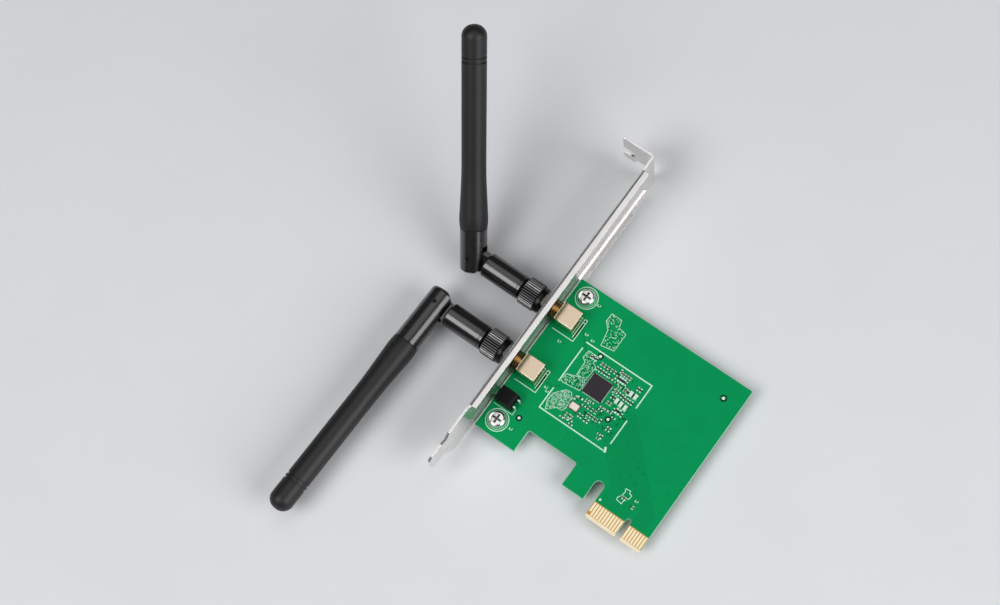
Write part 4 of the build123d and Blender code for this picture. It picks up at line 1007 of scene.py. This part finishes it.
@dataclass
class JackThreads:
    """Thread on the neck of each jack, between its block and the bracket."""

    axis_z: float = 4.085
    lines: tuple[tuple[str, float], ...] = (("upper", 48.2), ("lower", 27.88))
    start: float = -57.9
    end: float = -55.5
    core: float = 3.08
    crest: float = 3.24
    pitch: float = 0.6
    sides: int = 64
    steps: int = 10

    def build(self, finish: bpy.types.Material) -> None:
        """Sweep the thread as one ridged skin about each axis.

        Args:
            finish: Material of the thread.
        """
        for name, y in self.lines:
            draft = MeshDraft()
            rows = int((self.end - self.start) / self.pitch * self.steps)
            grid = []
            for i in range(rows + 1):
                x = self.start + (self.end - self.start) * i / rows
                row = []
                for k in range(self.sides):
                    turn = k / self.sides
                    phase = (x / self.pitch - turn) % 1.0
                    radius = self.core + (self.crest - self.core) * (1 - abs(2 * phase - 1))
                    row.append(len(draft.points))
                    draft.points.append((x, y + radius * math.cos(2 * math.pi * turn),
                                         self.axis_z + radius * math.sin(2 * math.pi * turn)))
                grid.append(row)
            for low, high in zip(grid, grid[1:]):
                draft.wall(low, high)
            draft.faces.append(tuple(reversed(grid[0])))
            draft.faces.append(tuple(grid[-1]))
            draft.piece(f"{name}_jack_thread", "card", "jack_brass", finish, smooth=True)


@dataclass
class NodeFinishes:
    """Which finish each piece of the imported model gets."""

    finishes: dict[str, bpy.types.Material]
    plan: dict[str, str] = field(default_factory=lambda: {
        "circuit_board": "board", "front_contacts": "gold", "rear_contacts": "gold", "bracket": "nickel_sheet",
        "bracket_screws": "zinc", "upper_jack": "gold_brass", "lower_jack": "gold_brass",
        "jack_insulators": "white", "jack_pins": "gold", "lock_washers": "nickel_turned",
        "jack_nuts": "nickel_turned", "solder_joints": "tin", "led_holder": "nylon", "led_lamp": "resin",
        "led_leads": "tin", "radio_chip": "compound", "chip_joints": "tin", "crystal_case": "brown",
        "crystal_lid": "lid", "capacitors": "brown", "resistors": "glaze", "inductors": "pale",
        "part_ends": "tin", "shield_tracks": "track", "upper_coupling_nut": "upper_knurl",
        "lower_coupling_nut": "lower_knurl"})
    antenna: dict[str, str] = field(default_factory=lambda: {
        "ferrule": "nickel_turned", "plug_insulator": "white", "plug_contact": "gold",
        "base": "polished", "base_feed": "jacket", "arm": "moulded", "hinge_pin": "oxide", "sleeve": "satin",
        "radiator": "drawn_brass", "mast_feed": "jacket"})

    def dress(self) -> None:
        """Give every node its finish."""
        plan = dict(self.plan)
        for side in ("upper", "lower"):
            plan |= {f"{side}_{part}": finish for part, finish in self.antenna.items()}
        for name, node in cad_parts.items():
            node.data.materials.clear()
            node.data.materials.append(self.finishes[plan[name]])
            LOG.info("node %s: %s", name, plan[name])


@dataclass(frozen=True)
class Panel:
    """A square light that hangs at a place seen from the camera's aim and faces it, in metres and watts."""

    name: str
    place: tuple[float, float, float]
    side: float
    power: float


PANELS = (
    Panel("front_panel", (-0.28, -0.67, 0.96), 0.7, 7.3),
    Panel("right_panel", (1.01, 0.06, 0.65), 0.84, 9.2),
    Panel("overhead_panel", (-0.1, 0.24, 1.14), 0.9, 2.24),
)


@dataclass
class Studio:
    """Floor, lights and the camera of the photograph."""

    aim: tuple[float, float, float] = (-73.84, 40.84, 0.785)
    azimuth: float = 49.43
    elevation: float = 72.034
    roll: float = -14.115
    distance: float = 675.4
    lens: float = 76.45
    sensor: float = 36.0
    clip_m: Point2 = (0.01, 20.0)
    floor_half_m: float = 3.0
    floor_gap_m: float = 0.00005
    world_colour: str = "#F4F6F8"
    world_strength: float = 0.1

    def build_floor(self) -> None:
        """Lay the pale floor under the lowest point of the card."""
        level, half = CAD_BOX[0].z - self.floor_gap_m, self.floor_half_m
        mesh = bpy.data.meshes.new("floor")
        mesh.from_pydata([(x, y, level) for x, y in corners(-half, -half, half, half)], [], [(0, 1, 2, 3)])
        mesh.materials.append(MATT_BOARD.material())
        floor = bpy.data.objects.new("floor", mesh)
        bpy.context.scene.collection.objects.link(floor)

    def build_lights(self) -> None:
        """Hang a panel in front, one on the right and a weak one overhead in a dim even room."""
        world = bpy.data.worlds.new("pale_room")
        world.use_nodes = True
        sky = world.node_tree.nodes["Background"]
        sky.inputs["Color"].default_value = linear(self.world_colour)
        sky.inputs["Strength"].default_value = self.world_strength
        bpy.context.scene.world = world
        centre = Vector(self.aim) * MM
        for panel in PANELS:
            lamp = bpy.data.lights.new(panel.name, "AREA")
            lamp.size = panel.side
            lamp.energy = panel.power
            hung = bpy.data.objects.new(panel.name, lamp)
            hung.location = centre + Vector(panel.place)
            hung.rotation_mode = "QUATERNION"
            hung.rotation_quaternion = (-Vector(panel.place)).to_track_quat("-Z", "Y")
            bpy.context.scene.collection.objects.link(hung)

    def build_camera(self) -> None:
        """Stand the camera where the photograph was taken from."""
        a, e, r = (math.radians(v) for v in (self.azimuth, self.elevation, self.roll))
        back = Vector((math.sin(a) * math.cos(e), -math.cos(a) * math.cos(e), math.sin(e)))
        level = Vector((math.cos(a), math.sin(a), 0.0))
        rise = back.cross(level)
        right = level * math.cos(r) + rise * math.sin(r)
        up = rise * math.cos(r) - level * math.sin(r)
        lens = bpy.data.cameras.new("camera")
        lens.lens = self.lens
        lens.sensor_width = self.sensor
        lens.sensor_fit = "HORIZONTAL"
        lens.clip_start, lens.clip_end = self.clip_m
        camera = bpy.data.objects.new("camera", lens)
        turn = Matrix((right, up, back)).transposed().to_4x4()
        camera.matrix_world = Matrix.Translation((Vector(self.aim) + back * self.distance) * MM) @ turn
        bpy.context.scene.collection.objects.link(camera)
        bpy.context.scene.camera = camera

    def build(self) -> None:
        """Build the room and set the plain view transform."""
        self.build_floor()
        self.build_lights()
        self.build_camera()
        bpy.context.scene.view_settings.view_transform = "Standard"


def main() -> None:
    """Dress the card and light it."""
    logging.basicConfig(level=logging.INFO, format="%(name)s: %(message)s")
    finishes = {key: finish.material() for key, finish in FINISHES.items()}
    NodeFinishes(finishes).dress()
    BoardDress(finishes=finishes).build()
    JackThreads().build(finishes["thread"])
    Studio().build()


if __name__ == "__main__":
    main()
